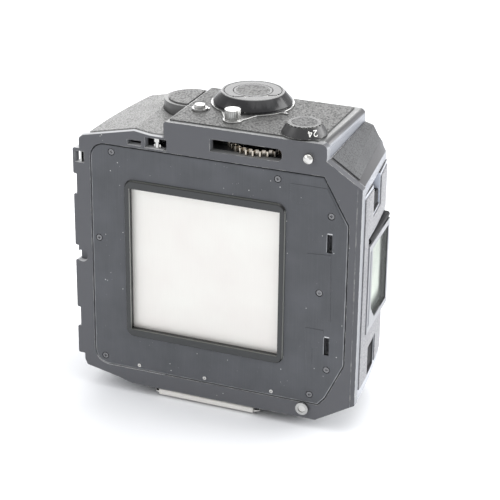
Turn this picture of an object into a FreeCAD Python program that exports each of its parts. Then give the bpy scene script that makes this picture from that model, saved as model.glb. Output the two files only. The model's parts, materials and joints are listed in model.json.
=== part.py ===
import FreeCAD, Part

import math
import os

import Sketcher

# Roll-film magazine of a 6 x 6 cm medium-format camera, standing as it is photographed:
# its camera side faces -Y, its winding knob is on top, and the darkslide leaves downwards.
# All lengths are millimetres. X = 0 is the middle of the body, Y = 0 is half its depth,
# and Z = 0 is the surface that it stands on.

doc = FreeCAD.newDocument("roll_film_back")
sheet = doc.addObject("Spreadsheet::Sheet", "Sizes")


# Driving dimensions

class Size:
    """A length or angle that knows its value now and the sheet formula behind it."""

    def __init__(self, value, formula):
        self.value = float(value)
        self.formula = formula

    def __add__(self, other):
        other = as_size(other)
        return Size(self.value + other.value, f"({self.formula} + {other.formula})")

    __radd__ = __add__

    def __sub__(self, other):
        other = as_size(other)
        return Size(self.value - other.value, f"({self.formula} - {other.formula})")

    def __rsub__(self, other):
        return as_size(other) - self

    def __mul__(self, other):
        other = as_size(other)
        return Size(self.value * other.value, f"({self.formula} * {other.formula})")

    __rmul__ = __mul__

    def __truediv__(self, other):
        other = as_size(other)
        return Size(self.value / other.value, f"({self.formula} / {other.formula})")

    def __neg__(self):
        return Size(-self.value, f"(0 - {self.formula})")


def as_size(number):
    """Gives a plain number the same form as a size from the sheet."""
    if isinstance(number, Size):
        return number
    return Size(number, f"({number!r})")


def root(size):
    """The square root of a size."""
    return Size(math.sqrt(size.value), f"sqrt({size.formula})")


class Sizes:
    """The driving lengths in millimetres, each one a cell of the sheet."""

    # Whole body
    depth = 47.0
    wall = 1.6
    leather_thick = 0.5
    slip = 0.06
    air = 0.3

    # Flange outline, seen from the camera side
    flange_thick = 3.2
    flange_bottom = 3.9
    left_face = 53.0
    right_face = 54.6
    tab_proud = 2.6
    left_low_x = 33.3
    keel_x = 39.3
    keel_rise = 1.7
    left_corner_x = 52.0
    left_corner_rise = 4.4
    left_low_rise = 6.5
    left_top_z = 99.9
    facet_x = 51.6
    facet_z = 101.2
    ridge_x = 31.0
    ridge_z = 105.7
    deck_x = 24.7
    deck_z = 104.8
    raised_left = 19.5
    raised_right = 41.4
    raised_top = 110.4
    raised_round = 2.2
    raised_left_round = 1.2
    shoulder_low_z = 96.05
    shoulder_low_x = 54.3
    shoulder_foot_z = 104.4
    right_low_x = 39.8
    right_low_z = 12.8

    # Hinge tabs on the left edge, lower end and height of each
    tab_one_z = 12.9
    tab_one_tall = 11.4
    tab_two_z = 32.0
    tab_two_tall = 19.5
    tab_three_z = 57.3
    tab_three_tall = 20.5
    tab_four_z = 85.6
    tab_four_tall = 10.0
    notch_z = 53.2
    notch_radius = 2.3
    notch_deep = 2.2
    band_proud = 1.3
    tab_round = 0.7
    tab_hole_z = 90.1
    tab_hole_tall = 4.4
    tab_hole_wide = 3.6
    tab_hole_edge = 0.9
    tab_spring_in = 1.9

    # Front plate and its raised lip
    plate_thick = 1.3
    plate_left = 48.4
    plate_right = 50.0
    plate_low = 10.4
    plate_top = 98.5
    plate_round = 5.5
    plate_top_cut_x = 40.6
    plate_top_cut_z = 81.8
    plate_low_cut_x = 40.6
    plate_low_cut_z = 27.8
    plate_knee_x = 43.3
    plate_knee_z = 13.6
    plate_gap = 0.3
    plate_bevel = 0.6
    pad_proud = 0.12
    deck_round = 0.8
    edge_line_x = 52.8
    edge_line_wide = 0.16
    edge_line_low = 10.0
    edge_line_high = 94.0
    gate_wide = 58.0
    gate_tall = 56.1
    gate_x = 4.0
    gate_z = 55.3
    lip_side = 2.2
    lip_end = 3.3
    lip_proud = 1.0
    lip_round = 3.5
    lip_taper = 30.0
    lip_edge = 0.4
    key_slot_x = 43.4
    key_slot_wide = 1.8
    key_slot_tall = 6.9
    key_slot_low_z = 34.4
    key_slot_high_z = 74.2

    # Screws of the front plate, and the electric contacts
    screw_head_radius = 1.08
    screw_seat_radius = 1.35
    screw_head_tall = 0.8
    screw_shank_radius = 0.8
    screw_cross_long = 1.15
    screw_cross_wide = 0.3
    screw_cross_deep = 0.4
    contact_radius = 0.7
    contact_proud = 0.2
    contact_hole_radius = 0.32
    contact_hole_deep = 0.3
    contact_z = 12.2

    # Windows through the flange above the plate
    gear_slot_left = -1.9
    gear_slot_right = 25.1
    gear_slot_z = 101.8
    gear_slot_tall = 4.6
    gear_slot_round = 2.0
    thin_slot_left = -33.7
    thin_slot_right = -28.3
    thin_slot_z = 99.8
    thin_slot_tall = 2.0
    pin_slot_left = -26.8
    pin_slot_right = -18.4
    pin_slot_z = 99.5
    pin_slot_tall = 4.0
    pin_pocket_deep = 7.0

    # Locating pins
    upper_pin_x = 34.9
    upper_pin_z = 104.6
    upper_pin_radius = 1.8
    upper_shank_radius = 1.5
    pin_seat_deep = 0.1
    pin_proud = 1.2
    pin_dome = 0.5
    lower_pin_x = 35.0
    lower_pin_z = 8.0
    sleeve_radius = 2.4
    sleeve_shank_radius = 2.0
    plunger_radius = 1.35
    plunger_travel = 0.8

    # Darkslide with its rolled hem and wire pull
    slide_thick = 0.5
    slide_play = 0.3
    slide_side = 2.2
    slide_over = 4.5
    tongue_left = -22.7
    tongue_right = 15.2
    hem_thick = 2.0
    hem_tall = 2.7
    hem_low = 0.7
    pull_wire = 0.55
    pull_long = 11.0
    pull_side = 2.0
    pull_bend = 2.0

    # Body shell and film chamber
    door_deep = 5.0
    shell_right = 47.0
    crown_in = 1.9
    crown_low = 97.6
    crown_front_x = 49.7
    crown_front = 11.5
    crown_rear_x = 45.9
    crown_round = 1.8
    crown_curve = 153.0
    crown_border = 0.9
    chamber_left = 46.0
    chamber_right = 41.0
    chamber_low = 12.0
    chamber_top = 97.0
    gear_floor = 101.5
    roof_thick = 1.8
    seam_z = 92.8
    base_front = 8.6
    base_left = 33.0
    base_right = 38.0
    base_round = 6.0

    # Shoulder at the upper right, at its rear end
    shoulder_rear_foot_z = 105.6
    shoulder_rear_bend_x = 44.6
    shoulder_rear_bend_z = 104.6
    shoulder_rear_low_x = 49.7
    shoulder_rear_low_z = 95.4

    # Curved right side cover
    side_low = 13.5
    side_hide_low = 17.6
    side_rear_x = 50.2
    side_curve = 330.0
    side_border = 1.6
    side_hide_gap = 0.3
    latch_front = 15.4
    latch_wide = 11.6
    latch_floor = 49.4
    latch_tab_proud = 2.6
    latch_side_gap = 0.4
    upper_latch_low = 81.2
    upper_tab_low = 81.6
    upper_tab_tall = 5.1
    upper_latch_travel = 3.5
    lower_latch_low = 16.8
    lower_latch_tall = 11.6
    lower_tab_low = 17.6
    lower_tab_tall = 7.6
    lower_latch_travel = 2.5
    latch_stem_wide = 3.0
    latch_stem_tall = 3.0

    # Memo window on the side cover
    window_front = 9.1
    window_long = 30.5
    window_low = 37.0
    window_tall = 34.1
    window_frame_thick = 2.4
    window_rim = 2.4
    window_channel = 2.8
    window_groove_wide = 0.6
    window_groove_deep = 0.5
    window_groove_step = 1.3
    window_cut = 6.0
    glass_thick = 1.6
    card_thick = 0.3
    window_bar_radius = 1.1
    window_tilt = 3.9
    window_seat_x = 52.8

    # Winding knob, folding key and the lever ring round it
    knob_x = 2.6
    knob_y = 29.6
    knob_base_radius = 14.4
    knob_top_radius = 11.3
    knob_top = 115.9
    knob_foot = 0.8
    ring_thick = 0.6
    ring_radius = 15.1
    lever_reach = 20.4
    lever_side = 0.4
    lever_end_radius = 3.5
    lever_end_half = 3.3
    lever_root_reach = 12.1
    lever_root_half = 7.5
    lever_knob_radius = 2.85
    lever_knob_tall = 3.7
    knurl_depth = 0.25
    knurl_half = 0.175
    knurl_root_half = 0.07
    knob_shaft_radius = 2.5
    key_outer = 10.3
    key_inner = 7.3
    key_thick = 1.2
    key_pin_radius = 0.45
    key_chord = 6.3
    key_eye_start = 4.5
    key_eye_end = 7.7
    key_end_half = 7.9
    key_end_tall = 0.7
    key_pin_start = 2.4
    key_pin_end = 9.1
    cap_radius = 6.1

    # Gear train under the raised cover
    gear_module = 0.8
    gear_low = 101.9
    gear_tall = 2.2
    gear_x = 13.5
    gear_axle_radius = 2.0
    gear_axle_head_radius = 3.0
    spool_x = 26.0

    # Frame counter
    counter_x = -8.5
    counter_y = 31.0
    counter_radius = 7.3
    counter_low = 106.3
    counter_tall = 1.7
    counter_axle_radius = 1.2
    counter_post_radius = 1.9
    counter_window_wide = 7.0
    counter_window_tall = 3.0

    # Film length selector
    selector_x = 30.2
    selector_y = 7.9
    selector_radius = 8.1
    selector_top_radius = 6.1
    selector_tall = 3.7
    selector_shaft_radius = 1.5
    selector_clip_radius = 3.0
    selector_notch = 0.7

    # Release button
    button_x = -12.2
    button_y = 15.5
    button_radius = 2.0
    button_tall = 2.1
    collar_radius = 2.9
    collar_tall = 0.9
    collar_ear_radius = 0.9
    button_stem_radius = 0.9
    button_clip_radius = 2.6

    # Round housing at the rear left
    housing_x = -21.7
    housing_y = 30.5
    housing_radius = 10.2
    housing_top = 109.6

    # Film insert
    gate_frame_thick = 1.5
    film_frame = 56.0
    insert_front = 8.0
    insert_in = 0.8
    insert_plate = 1.8
    spool_long = 65.5
    spool_radius = 12.5
    spool_core = 5.0
    spool_flange = 1.2
    spool_play = 1.2
    spool_pin_radius = 2.0
    spool_pin_deep = 4.0
    spool_axis_y = 29.0
    supply_x = -30.0
    film_radius = 11.6
    roller_radius = 2.6
    roller_out = 6.4
    roller_y = 10.8
    pressure_front = 5.4
    pressure_thick = 1.2
    pressure_wide = 62.0
    pressure_tall = 66.0
    bridge_y = 9.4
    bridge_thick = 1.4
    guide_radius = 1.2
    guide_spread = 22.0
    spring_width = 8.0
    spring_long = 40.0
    spring_thick = 0.4

    # Rear door and its hinge
    door_gap = 0.25
    door_left = 46.8
    door_right = 48.0
    door_low = 6.4
    door_top = 100.8
    door_round = 6.0
    door_wall = 1.8
    door_edge_round = 2.0
    hinge_x = 49.6
    hinge_radius = 2.1
    hinge_pin_radius = 1.1
    hinge_low = 26.0
    knuckle_tall = 10.0
    knuckle_gap = 0.3

    # Small details
    pointer_long = 2.8
    button_skirt = 1.3
    drive_blade = 1.6
    pressure_travel = 0.6
    coupling_pin_radius = 1.3
    coupling_stem_radius = 0.8


# Counts, angles and shares

PLATE_SCREWS = [(-40.1, 96.0), (-45.7, 61.8), (-44.3, 13.6), (23.7, 95.4),
                (43.7, 84.6), (40.1, 54.9), (43.6, 25.1), (37.4, 13.9)]
CONTACTS = [-30.2, -3.7, 22.7]
PADS = [
    [(28.5, 87.8), (35.3, 87.8), (35.6, 74.6), (42.1, 74.6), (42.1, 78.6),
     (48.3, 82.9), (41.9, 94.6), (28.5, 94.6)],
    [(35.3, 69.4), (36.0, 44.3), (44.5, 44.4), (44.0, 70.0)],
    [(35.2, 40.6), (35.9, 25.9), (37.9, 26.3), (38.0, 32.9), (42.1, 34.1), (42.1, 40.6)],
]
KEY_ANGLE = 30.6
KNOB_TEETH = 15
TRANSPORT_TEETH = 32
SPOOL_TEETH = 18
TOOTH_BELOW = 1.1
TOOTH_ABOVE = 0.8
TOOTH_BASE_HALF = 0.76
TOOTH_TIP_HALF = 0.4
SELECTOR_NOTCHES = 24
COLLAR_EAR_ANGLE = 35
KNUCKLES = 5
SHOULDER_BEND = 0.6
SHOULDER_HIDE_START = 0.03
SHOULDER_HIDE_END = 0.95
SHOULDER_HIDE_INSET = 0.05
SHOULDER_HIDE_REACH = 0.55
POINTER_ANGLE = -24
POINTER_SPREAD = 7
KNURLS = 26


s = Sizes
cells = []


def put(name, value):
    """Gives a size its cell in the sheet, under its own name."""
    cells.append(name)
    row = len(cells)
    sheet.set(f"A{row}", name)
    sheet.set(f"B{row}", str(value))
    sheet.setAlias(f"B{row}", name)
    setattr(s, name, Size(value, f"Sizes.{name}"))


for size_name, size_value in list(vars(Sizes).items()):
    if not size_name.startswith("_"):
        put(size_name, size_value)
for number, (screw_x, screw_z) in enumerate(PLATE_SCREWS, 1):
    put(f"plate_screw_{number}_x", screw_x)
    put(f"plate_screw_{number}_z", screw_z)
for number, contact_x in enumerate(CONTACTS, 1):
    put(f"contact_{number}_x", contact_x)


# Places worked out from the sizes

front = -s.depth / 2
rear = s.depth / 2
flange_back = front + s.flange_thick
shell_rear = s.depth - s.door_deep
shell_back = rear - s.door_deep
crown_back = rear - s.crown_in
tab_reach = s.left_face + s.tab_proud
leather_top = s.raised_top + s.leather_thick
gate_left = -s.gate_x - s.gate_wide / 2
gate_right = -s.gate_x + s.gate_wide / 2
gate_low = s.gate_z - s.gate_tall / 2
gate_high = s.gate_z + s.gate_tall / 2
slide_front = front + s.plate_thick + s.slide_play
slide_back = slide_front + s.slide_thick
slide_left = gate_left - s.slide_side
slide_right = gate_right + s.slide_side
slide_top = gate_high + s.slide_over
hem_y = (slide_front + slide_back) / 2
hem_z = s.hem_low + s.hem_thick / 2
knob_y = front + s.knob_y
selector_y = front + s.selector_y
button_y = front + s.button_y
housing_y = front + s.housing_y
counter_y = front + s.counter_y
counter_window_low = s.counter_low + (s.counter_tall - s.counter_window_tall) / 2
hinge_y = shell_back + s.hinge_radius + s.knuckle_gap

knob_pitch = s.gear_module * KNOB_TEETH / 2
transport_pitch = s.gear_module * TRANSPORT_TEETH / 2
spool_pitch = s.gear_module * SPOOL_TEETH / 2


def leg(reach, other_leg):
    """The second leg of a right triangle, from its long side and the first leg."""
    return root(reach * reach - other_leg * other_leg)


gear_y = knob_y - leg(knob_pitch + transport_pitch, s.gear_x - s.knob_x)
spool_y = gear_y + leg(transport_pitch + spool_pitch, s.spool_x - s.gear_x)
supply_y = front + s.spool_axis_y
ring_low = leather_top
knob_low = ring_low + s.ring_thick + s.slip
spool_low = s.gate_z - s.spool_long / 2
spool_high = s.gate_z + s.spool_long / 2
insert_low = spool_low - s.spool_play - s.insert_plate
insert_high = spool_high + s.spool_play + s.insert_plate
insert_left = -s.chamber_left + s.air
insert_right = s.chamber_right - s.air


# Building blocks

def bind(feature, prop, size):
    """Ties a property to the sheet."""
    feature.setExpression(prop, as_size(size).formula)


def place(feature, x, y, z, axis=None, angle=0):
    """Puts a feature at a point, turned about an axis by an angle in degrees."""
    if axis is not None:
        turn = FreeCAD.Rotation(FreeCAD.Vector(*axis), as_size(angle).value)
        feature.Placement = FreeCAD.Placement(FreeCAD.Vector(0, 0, 0), turn)
    for letter, size in zip("xyz", (x, y, z)):
        bind(feature, f"Placement.Base.{letter}", size)
    return feature


def box(name, low, high):
    """A block between two corners."""
    block = doc.addObject("Part::Box", name)
    for prop, start, end in zip(("Length", "Width", "Height"), low, high):
        bind(block, prop, as_size(end) - start)
    return place(block, *low)


TURNS = {"Z": None, "Y": (-1, 0, 0), "X": (0, 1, 0)}


def cylinder(name, x, y, z, radius, length, axis="Z"):
    """A round bar from a point along +X, +Y or +Z."""
    bar = doc.addObject("Part::Cylinder", name)
    bind(bar, "Radius", radius)
    bind(bar, "Height", length)
    return place(bar, x, y, z, TURNS[axis], 90)


def cone(name, x, y, z, low_radius, high_radius, length, axis="Z"):
    """A tapered bar from a point along +X, +Y or +Z."""
    bar = doc.addObject("Part::Cone", name)
    bind(bar, "Radius1", low_radius)
    bind(bar, "Radius2", high_radius)
    bind(bar, "Height", length)
    return place(bar, x, y, z, TURNS[axis], 90)


def fuse(name, shapes):
    """One solid of several that touch or overlap."""
    whole = doc.addObject("Part::MultiFuse", name)
    whole.Shapes = shapes
    whole.Refine = True
    return whole


def cut(name, base, tools):
    """A solid less one tool or several."""
    if len(tools) > 1:
        tool = doc.addObject("Part::Compound", f"{name}_tools")
        tool.Links = tools
    else:
        tool = tools[0]
    rest = doc.addObject("Part::Cut", name)
    rest.Base = base
    rest.Tool = tool
    rest.Refine = True
    return rest


def group(name, solids):
    """Separate solids under one name."""
    together = doc.addObject("Part::Compound", name)
    together.Links = solids
    return together


def new_body(name):
    """An empty body for sketches and their features."""
    return doc.addObject("PartDesign::Body", name)


def origin_item(body, role):
    """One of the body's own planes or axes."""
    for item in body.Origin.OriginFeatures:
        if item.Role == role:
            return item
    raise ValueError(role)


def new_sketch(body, name, role, shift):
    """A sketch on one of the body's planes, moved along that plane's normal."""
    sketch = body.newObject("Sketcher::SketchObject", name)
    sketch.AttachmentSupport = [(origin_item(body, role), "")]
    sketch.MapMode = "FlatFace"
    bind(sketch, "AttachmentOffset.Base.z", shift)
    return sketch


def arc_centre(start, end, radius):
    """The centre of the anticlockwise arc of that radius from start to end."""
    middle = (start + end) * 0.5
    chord = end - start
    reach = math.sqrt(max(radius ** 2 - (chord.Length / 2) ** 2, 0.0))
    side = FreeCAD.Vector(-chord.y, chord.x, 0).normalize()
    return middle + side * reach


def is_hollow(point):
    """Whether the arc that starts at this point bends inwards."""
    return len(point) > 3 and point[3]


def draw_outline(sketch, points):
    """Draws a closed outline, anticlockwise.

    A third value in a point makes an arc of that radius to the next point, and a fourth
    value of True makes that arc hollow instead of bulging.
    """
    first = sketch.GeometryCount
    spots = [FreeCAD.Vector(as_size(p[0]).value, as_size(p[1]).value, 0) for p in points]
    geometry = []
    for index, point in enumerate(points):
        start = spots[index]
        end = spots[(index + 1) % len(points)]
        if len(point) > 2:
            if is_hollow(point):
                start, end = end, start
            radius = as_size(point[2]).value
            centre = arc_centre(start, end, radius)
            circle = Part.Circle(centre, FreeCAD.Vector(0, 0, 1), radius)
            begin = math.atan2(start.y - centre.y, start.x - centre.x)
            finish = math.atan2(end.y - centre.y, end.x - centre.x)
            geometry.append(Part.ArcOfCircle(circle, begin, finish))
        else:
            geometry.append(Part.LineSegment(start, end))
    sketch.addGeometry(geometry, False)
    starts = [2 if is_hollow(point) else 1 for point in points]
    for index in range(len(points)):
        after = (index + 1) % len(points)
        sketch.addConstraint(Sketcher.Constraint(
            "Coincident", first + index, 3 - starts[index], first + after, starts[after]))
    for index, point in enumerate(points):
        for kind, size in (("DistanceX", point[0]), ("DistanceY", point[1])):
            size = as_size(size)
            rule = sketch.addConstraint(
                Sketcher.Constraint(kind, -1, 1, first + index, starts[index], size.value))
            sketch.setExpression(f"Constraints[{rule}]", size.formula)
        if len(point) > 2:
            size = as_size(point[2])
            rule = sketch.addConstraint(Sketcher.Constraint("Radius", first + index, size.value))
            sketch.setExpression(f"Constraints[{rule}]", size.formula)


def draw_circle(sketch, x, y, radius):
    """A circle about a point."""
    x, y, radius = as_size(x), as_size(y), as_size(radius)
    index = sketch.GeometryCount
    centre = FreeCAD.Vector(x.value, y.value, 0)
    sketch.addGeometry(Part.Circle(centre, FreeCAD.Vector(0, 0, 1), radius.value), False)
    for kind, size in (("DistanceX", x), ("DistanceY", y)):
        rule = sketch.addConstraint(Sketcher.Constraint(kind, -1, 1, index, 3, size.value))
        sketch.setExpression(f"Constraints[{rule}]", size.formula)
    rule = sketch.addConstraint(Sketcher.Constraint("Radius", index, radius.value))
    sketch.setExpression(f"Constraints[{rule}]", radius.formula)


def rectangle(left, low, right, high):
    """The corners of a rectangle, anticlockwise."""
    return [(left, low), (right, low), (right, high), (left, high)]


def rounded_rectangle(left, low, right, high, radius):
    """A rectangle with its four corners rounded."""
    return [(left + radius, low), (right - radius, low, radius),
            (right, low + radius), (right, high - radius, radius),
            (right - radius, high), (left + radius, high, radius),
            (left, high - radius), (left, low + radius, radius)]


def draw(sketch, outlines):
    """Outlines and circles, where a circle is (x, y, radius) by itself."""
    for outline in outlines:
        if isinstance(outline, tuple):
            draw_circle(sketch, *outline)
        else:
            draw_outline(sketch, outline)


ROLES = {"X": "YZ_Plane", "Y": "XZ_Plane", "Z": "XY_Plane"}


def add(body, name, axis, outlines, start, end, taper=None):
    """Pads outlines along an axis of the body, from start to end."""
    start, end = as_size(start), as_size(end)
    shift = -start if axis == "Y" else start
    sketch = new_sketch(body, f"{name}_sketch", ROLES[axis], shift)
    draw(sketch, outlines)
    pad = body.newObject("PartDesign::Pad", name)
    pad.Profile = sketch
    pad.Reversed = axis == "Y"
    bind(pad, "Length", end - start)
    if taper is not None:
        bind(pad, "TaperAngle", taper)
    return pad


def take(body, name, axis, outlines, start, end):
    """Pockets outlines along an axis of the body, from start to end."""
    start, end = as_size(start), as_size(end)
    shift = -start if axis == "Y" else end
    sketch = new_sketch(body, f"{name}_sketch", ROLES[axis], shift)
    draw(sketch, outlines)
    pocket = body.newObject("PartDesign::Pocket", name)
    pocket.Profile = sketch
    bind(pocket, "Length", end - start)
    return pocket


def round_edges(body, name, radius, chosen, kind="PartDesign::Fillet"):
    """Rounds or bevels the edges that a test picks from the body's shape."""
    doc.recompute()
    base = body.Tip
    names = [f"Edge{i}" for i, edge in enumerate(base.Shape.Edges, 1) if chosen(edge)]
    if not names:
        raise ValueError(f"{name} found no edges")
    feature = body.newObject(kind, name)
    feature.Base = (base, names)
    bind(feature, "Radius" if kind == "PartDesign::Fillet" else "Size", radius)
    return feature


def near(value, size):
    """Whether a measured value is that size."""
    return abs(value - as_size(size).value) < 0.01


# Flange and front plate

def lower_left():
    """The outline's lower left corner, from the left edge down to the underside."""
    return [
        (-s.left_face, s.flange_bottom + s.left_low_rise),
        (-s.left_corner_x, s.flange_bottom + s.left_corner_rise),
        (-s.keel_x, s.flange_bottom + s.keel_rise),
    ]


def flange_outline():
    """The front outline without the hinge tabs, anticlockwise from the lower left."""
    return [
        (-s.left_low_x, s.flange_bottom),
        (s.right_low_x, s.flange_bottom),
        (s.right_face, s.right_low_z),
        (s.right_face, s.shoulder_low_z - (s.right_face - s.shoulder_low_x)),
        (s.shoulder_low_x, s.shoulder_low_z),
        (s.raised_right, s.shoulder_foot_z),
        (s.raised_right, s.raised_top - s.raised_round, s.raised_round),
        (s.raised_right - s.raised_round, s.raised_top),
        (-s.raised_left + s.raised_left_round, s.raised_top, s.raised_left_round),
        (-s.raised_left, s.raised_top - s.raised_left_round),
        (-s.raised_left, s.deck_z),
        (-s.deck_x, s.deck_z),
        (-s.ridge_x, s.ridge_z),
        (-s.facet_x, s.facet_z),
        (-s.left_face, s.left_top_z),
    ] + lower_left()


def plate_outline(grow):
    """The front plate's outline, made larger by the given gap."""
    return [
        (-s.plate_left + s.plate_round, s.plate_low - grow),
        (s.plate_low_cut_x + grow / 2, s.plate_low - grow),
        (s.plate_knee_x + grow, s.plate_knee_z - grow / 2),
        (s.plate_right + grow, s.plate_low_cut_z),
        (s.plate_right + grow, s.plate_top_cut_z + grow / 2),
        (s.plate_top_cut_x + grow / 2, s.plate_top + grow),
        (-s.plate_left + s.plate_round, s.plate_top + grow, s.plate_round + grow),
        (-s.plate_left - grow, s.plate_top - s.plate_round),
        (-s.plate_left - grow, s.plate_low + s.plate_round, s.plate_round + grow),
    ]


def key_slots(grow=0):
    """The two upright slots at the right of the front plate."""
    left = s.key_slot_x - s.key_slot_wide / 2 - grow
    right = s.key_slot_x + s.key_slot_wide / 2 + grow
    half = s.key_slot_tall / 2 + grow
    return [rectangle(left, z - half, right, z + half)
            for z in (s.key_slot_low_z, s.key_slot_high_z)]


def screw_spots():
    """Where the front plate's screws stand."""
    return [(getattr(s, f"plate_screw_{n}_x"), getattr(s, f"plate_screw_{n}_z"))
            for n in range(1, len(PLATE_SCREWS) + 1)]


def on_deck_front(edge):
    """Whether an edge runs along the front of the lower deck, its facet or their corner."""
    return all(near(corner.Y, front) and corner.X < 0.01 - s.raised_left.value
               and corner.Z > s.left_top_z.value - 0.01
               and corner.Z < s.raised_top.value - s.raised_left_round.value - 0.01
               for corner in edge.Vertexes)


def make_front_frame():
    """The cast flange, with its tabs, windows and the darkslide's channel."""
    body = new_body("front_frame")
    add(body, "flange", "Y", [flange_outline()], front, flange_back)
    root_x = -s.left_face + s.tab_hole_edge
    band = rectangle(-s.left_face - s.band_proud, s.tab_one_z + s.tab_round,
                     root_x, s.tab_four_z + s.tab_four_tall - s.tab_round)
    add(body, "hinge_band", "Y", [band], front, flange_back)
    outlines = []
    for word in ("one", "two", "three", "four"):
        low = getattr(s, f"tab_{word}_z")
        tall = getattr(s, f"tab_{word}_tall")
        outlines.append(rounded_rectangle(-tab_reach, low, root_x, low + tall, s.tab_round))
    add(body, "hinge_tabs", "Y", outlines, front, flange_back)
    round_edges(body, "deck_rounding", s.deck_round, on_deck_front)
    take(body, "plate_seat", "Y", [plate_outline(s.plate_gap)], front, front + s.plate_thick)
    channel = rectangle(slide_left - s.slide_play, front + s.plate_thick,
                        slide_right + s.slide_play, slide_back + s.slide_play)
    take(body, "slide_channel", "Z", [channel], 0, slide_top + s.slide_play)
    gate = rectangle(gate_left, gate_low, gate_right, gate_high)
    take(body, "gate_opening", "Y", [gate], front, flange_back)
    gear_slot_top = s.gear_slot_z + s.gear_slot_tall
    gear_slot = [
        (s.gear_slot_left, s.gear_slot_z),
        (s.gear_slot_right - s.gear_slot_round, s.gear_slot_z, s.gear_slot_round),
        (s.gear_slot_right, s.gear_slot_z + s.gear_slot_round),
        (s.gear_slot_right, gear_slot_top - s.gear_slot_round, s.gear_slot_round),
        (s.gear_slot_right - s.gear_slot_round, gear_slot_top),
        (s.gear_slot_left, gear_slot_top),
    ]
    thin_slot = rectangle(s.thin_slot_left, s.thin_slot_z,
                          s.thin_slot_right, s.thin_slot_z + s.thin_slot_tall)
    pin_slot = rectangle(s.pin_slot_left, s.pin_slot_z,
                         s.pin_slot_right, s.pin_slot_z + s.pin_slot_tall)
    take(body, "windows", "Y", [gear_slot, thin_slot, pin_slot] + key_slots(),
         front, flange_back)
    hole_left = -tab_reach + s.tab_hole_edge
    tab_hole = rectangle(hole_left, s.tab_hole_z,
                         hole_left + s.tab_hole_wide, s.tab_hole_z + s.tab_hole_tall)
    take(body, "tab_window", "Y", [tab_hole], front, flange_back)
    notch = (-s.left_face, s.notch_z, s.notch_radius)
    take(body, "edge_notch", "Y", [notch], front, front + s.notch_deep)
    line = rectangle(s.edge_line_x, s.edge_line_low,
                     s.edge_line_x + s.edge_line_wide, s.edge_line_high)
    take(body, "edge_line", "Y", [line], front, front + s.edge_line_wide)
    pins = [(s.upper_pin_x, s.upper_pin_z, s.upper_shank_radius),
            (s.lower_pin_x, s.lower_pin_z, s.sleeve_shank_radius)]
    screws = [(x, z, s.screw_shank_radius) for x, z in screw_spots()]
    take(body, "pin_holes", "Y", pins + screws, front, flange_back)
    seats = [(s.upper_pin_x, s.upper_pin_z, s.upper_pin_radius + s.slip),
             (s.lower_pin_x, s.lower_pin_z, s.sleeve_radius + s.slip)]
    take(body, "pin_seats", "Y", seats, front, front + s.pin_seat_deep)
    return body


def make_front_plate():
    """The inner plate, with the raised lip round the film gate."""
    body = new_body("front_plate")
    add(body, "plate", "Y", [plate_outline(0)], front, front + s.plate_thick)
    round_edges(body, "plate_rounding", s.plate_bevel,
                lambda edge: all(near(corner.Y, front) for corner in edge.Vertexes))
    add(body, "pads", "Y", PADS, front - s.pad_proud, front)
    lip = rounded_rectangle(gate_left - s.lip_side, gate_low - s.lip_end,
                            gate_right + s.lip_side, gate_high + s.lip_end, s.lip_round)
    lip_sketch = new_sketch(body, "lip_sketch", "XZ_Plane", -front)
    draw(lip_sketch, [lip])
    ring = body.newObject("PartDesign::Pad", "lip")
    ring.Profile = lip_sketch
    bind(ring, "Length", s.lip_proud)
    bind(ring, "TaperAngle", -s.lip_taper)
    round_edges(body, "lip_rounding", s.lip_edge,
                lambda edge: near(edge.CenterOfMass.y, front - s.lip_proud))
    gate = rectangle(gate_left, gate_low, gate_right, gate_high)
    take(body, "gate", "Y", [gate], front - s.lip_proud, front + s.plate_thick)
    take(body, "slots", "Y", key_slots(), front, front + s.plate_thick)
    heads = [(x, z, s.screw_seat_radius) for x, z in screw_spots()]
    take(body, "head_seats", "Y", heads, front - s.pad_proud, front + s.screw_head_tall)
    shanks = [(x, z, s.screw_shank_radius) for x, z in screw_spots()]
    take(body, "shank_holes", "Y", shanks, front, front + s.plate_thick)
    contacts = [(getattr(s, f"contact_{n}_x"), s.contact_z, s.contact_radius)
                for n in range(1, len(CONTACTS) + 1)]
    take(body, "contact_holes", "Y", contacts, front, front + s.plate_thick)
    return body


def make_plate_screws():
    """Eight countersunk screws with cross recesses."""
    screws = []
    half_long = s.screw_cross_long / 2
    half_wide = s.screw_cross_wide / 2
    for number, (x, z) in enumerate(screw_spots(), 1):
        name = f"plate_screw_{number}"
        head = cylinder(f"{name}_head", x, front, z, s.screw_head_radius,
                        s.screw_head_tall, "Y")
        shank = cylinder(f"{name}_shank", x, front, z, s.screw_shank_radius,
                         s.flange_thick, "Y")
        across = box(f"{name}_across", (x - half_long, front, z - half_wide),
                     (x + half_long, front + s.screw_cross_deep, z + half_wide))
        upright = box(f"{name}_upright", (x - half_wide, front, z - half_long),
                      (x + half_wide, front + s.screw_cross_deep, z + half_long))
        solid = fuse(f"{name}_blank", [head, shank])
        screws.append(cut(name, solid, [across, upright]))
    return group("plate_screws", screws)


def make_contact_pins():
    """Three silvered contacts in the front plate."""
    tip = front - s.contact_proud
    pins = []
    for n in range(1, len(CONTACTS) + 1):
        x = getattr(s, f"contact_{n}_x")
        pin = cylinder(f"contact_pin_{n}", x, tip, s.contact_z,
                       s.contact_radius, s.plate_thick + s.contact_proud, "Y")
        hole = cylinder(f"contact_hole_{n}", x, tip, s.contact_z,
                        s.contact_hole_radius, s.contact_hole_deep, "Y")
        pins.append(cut(f"contact_{n}", pin, [hole]))
    return group("contact_pins", pins)


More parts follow.
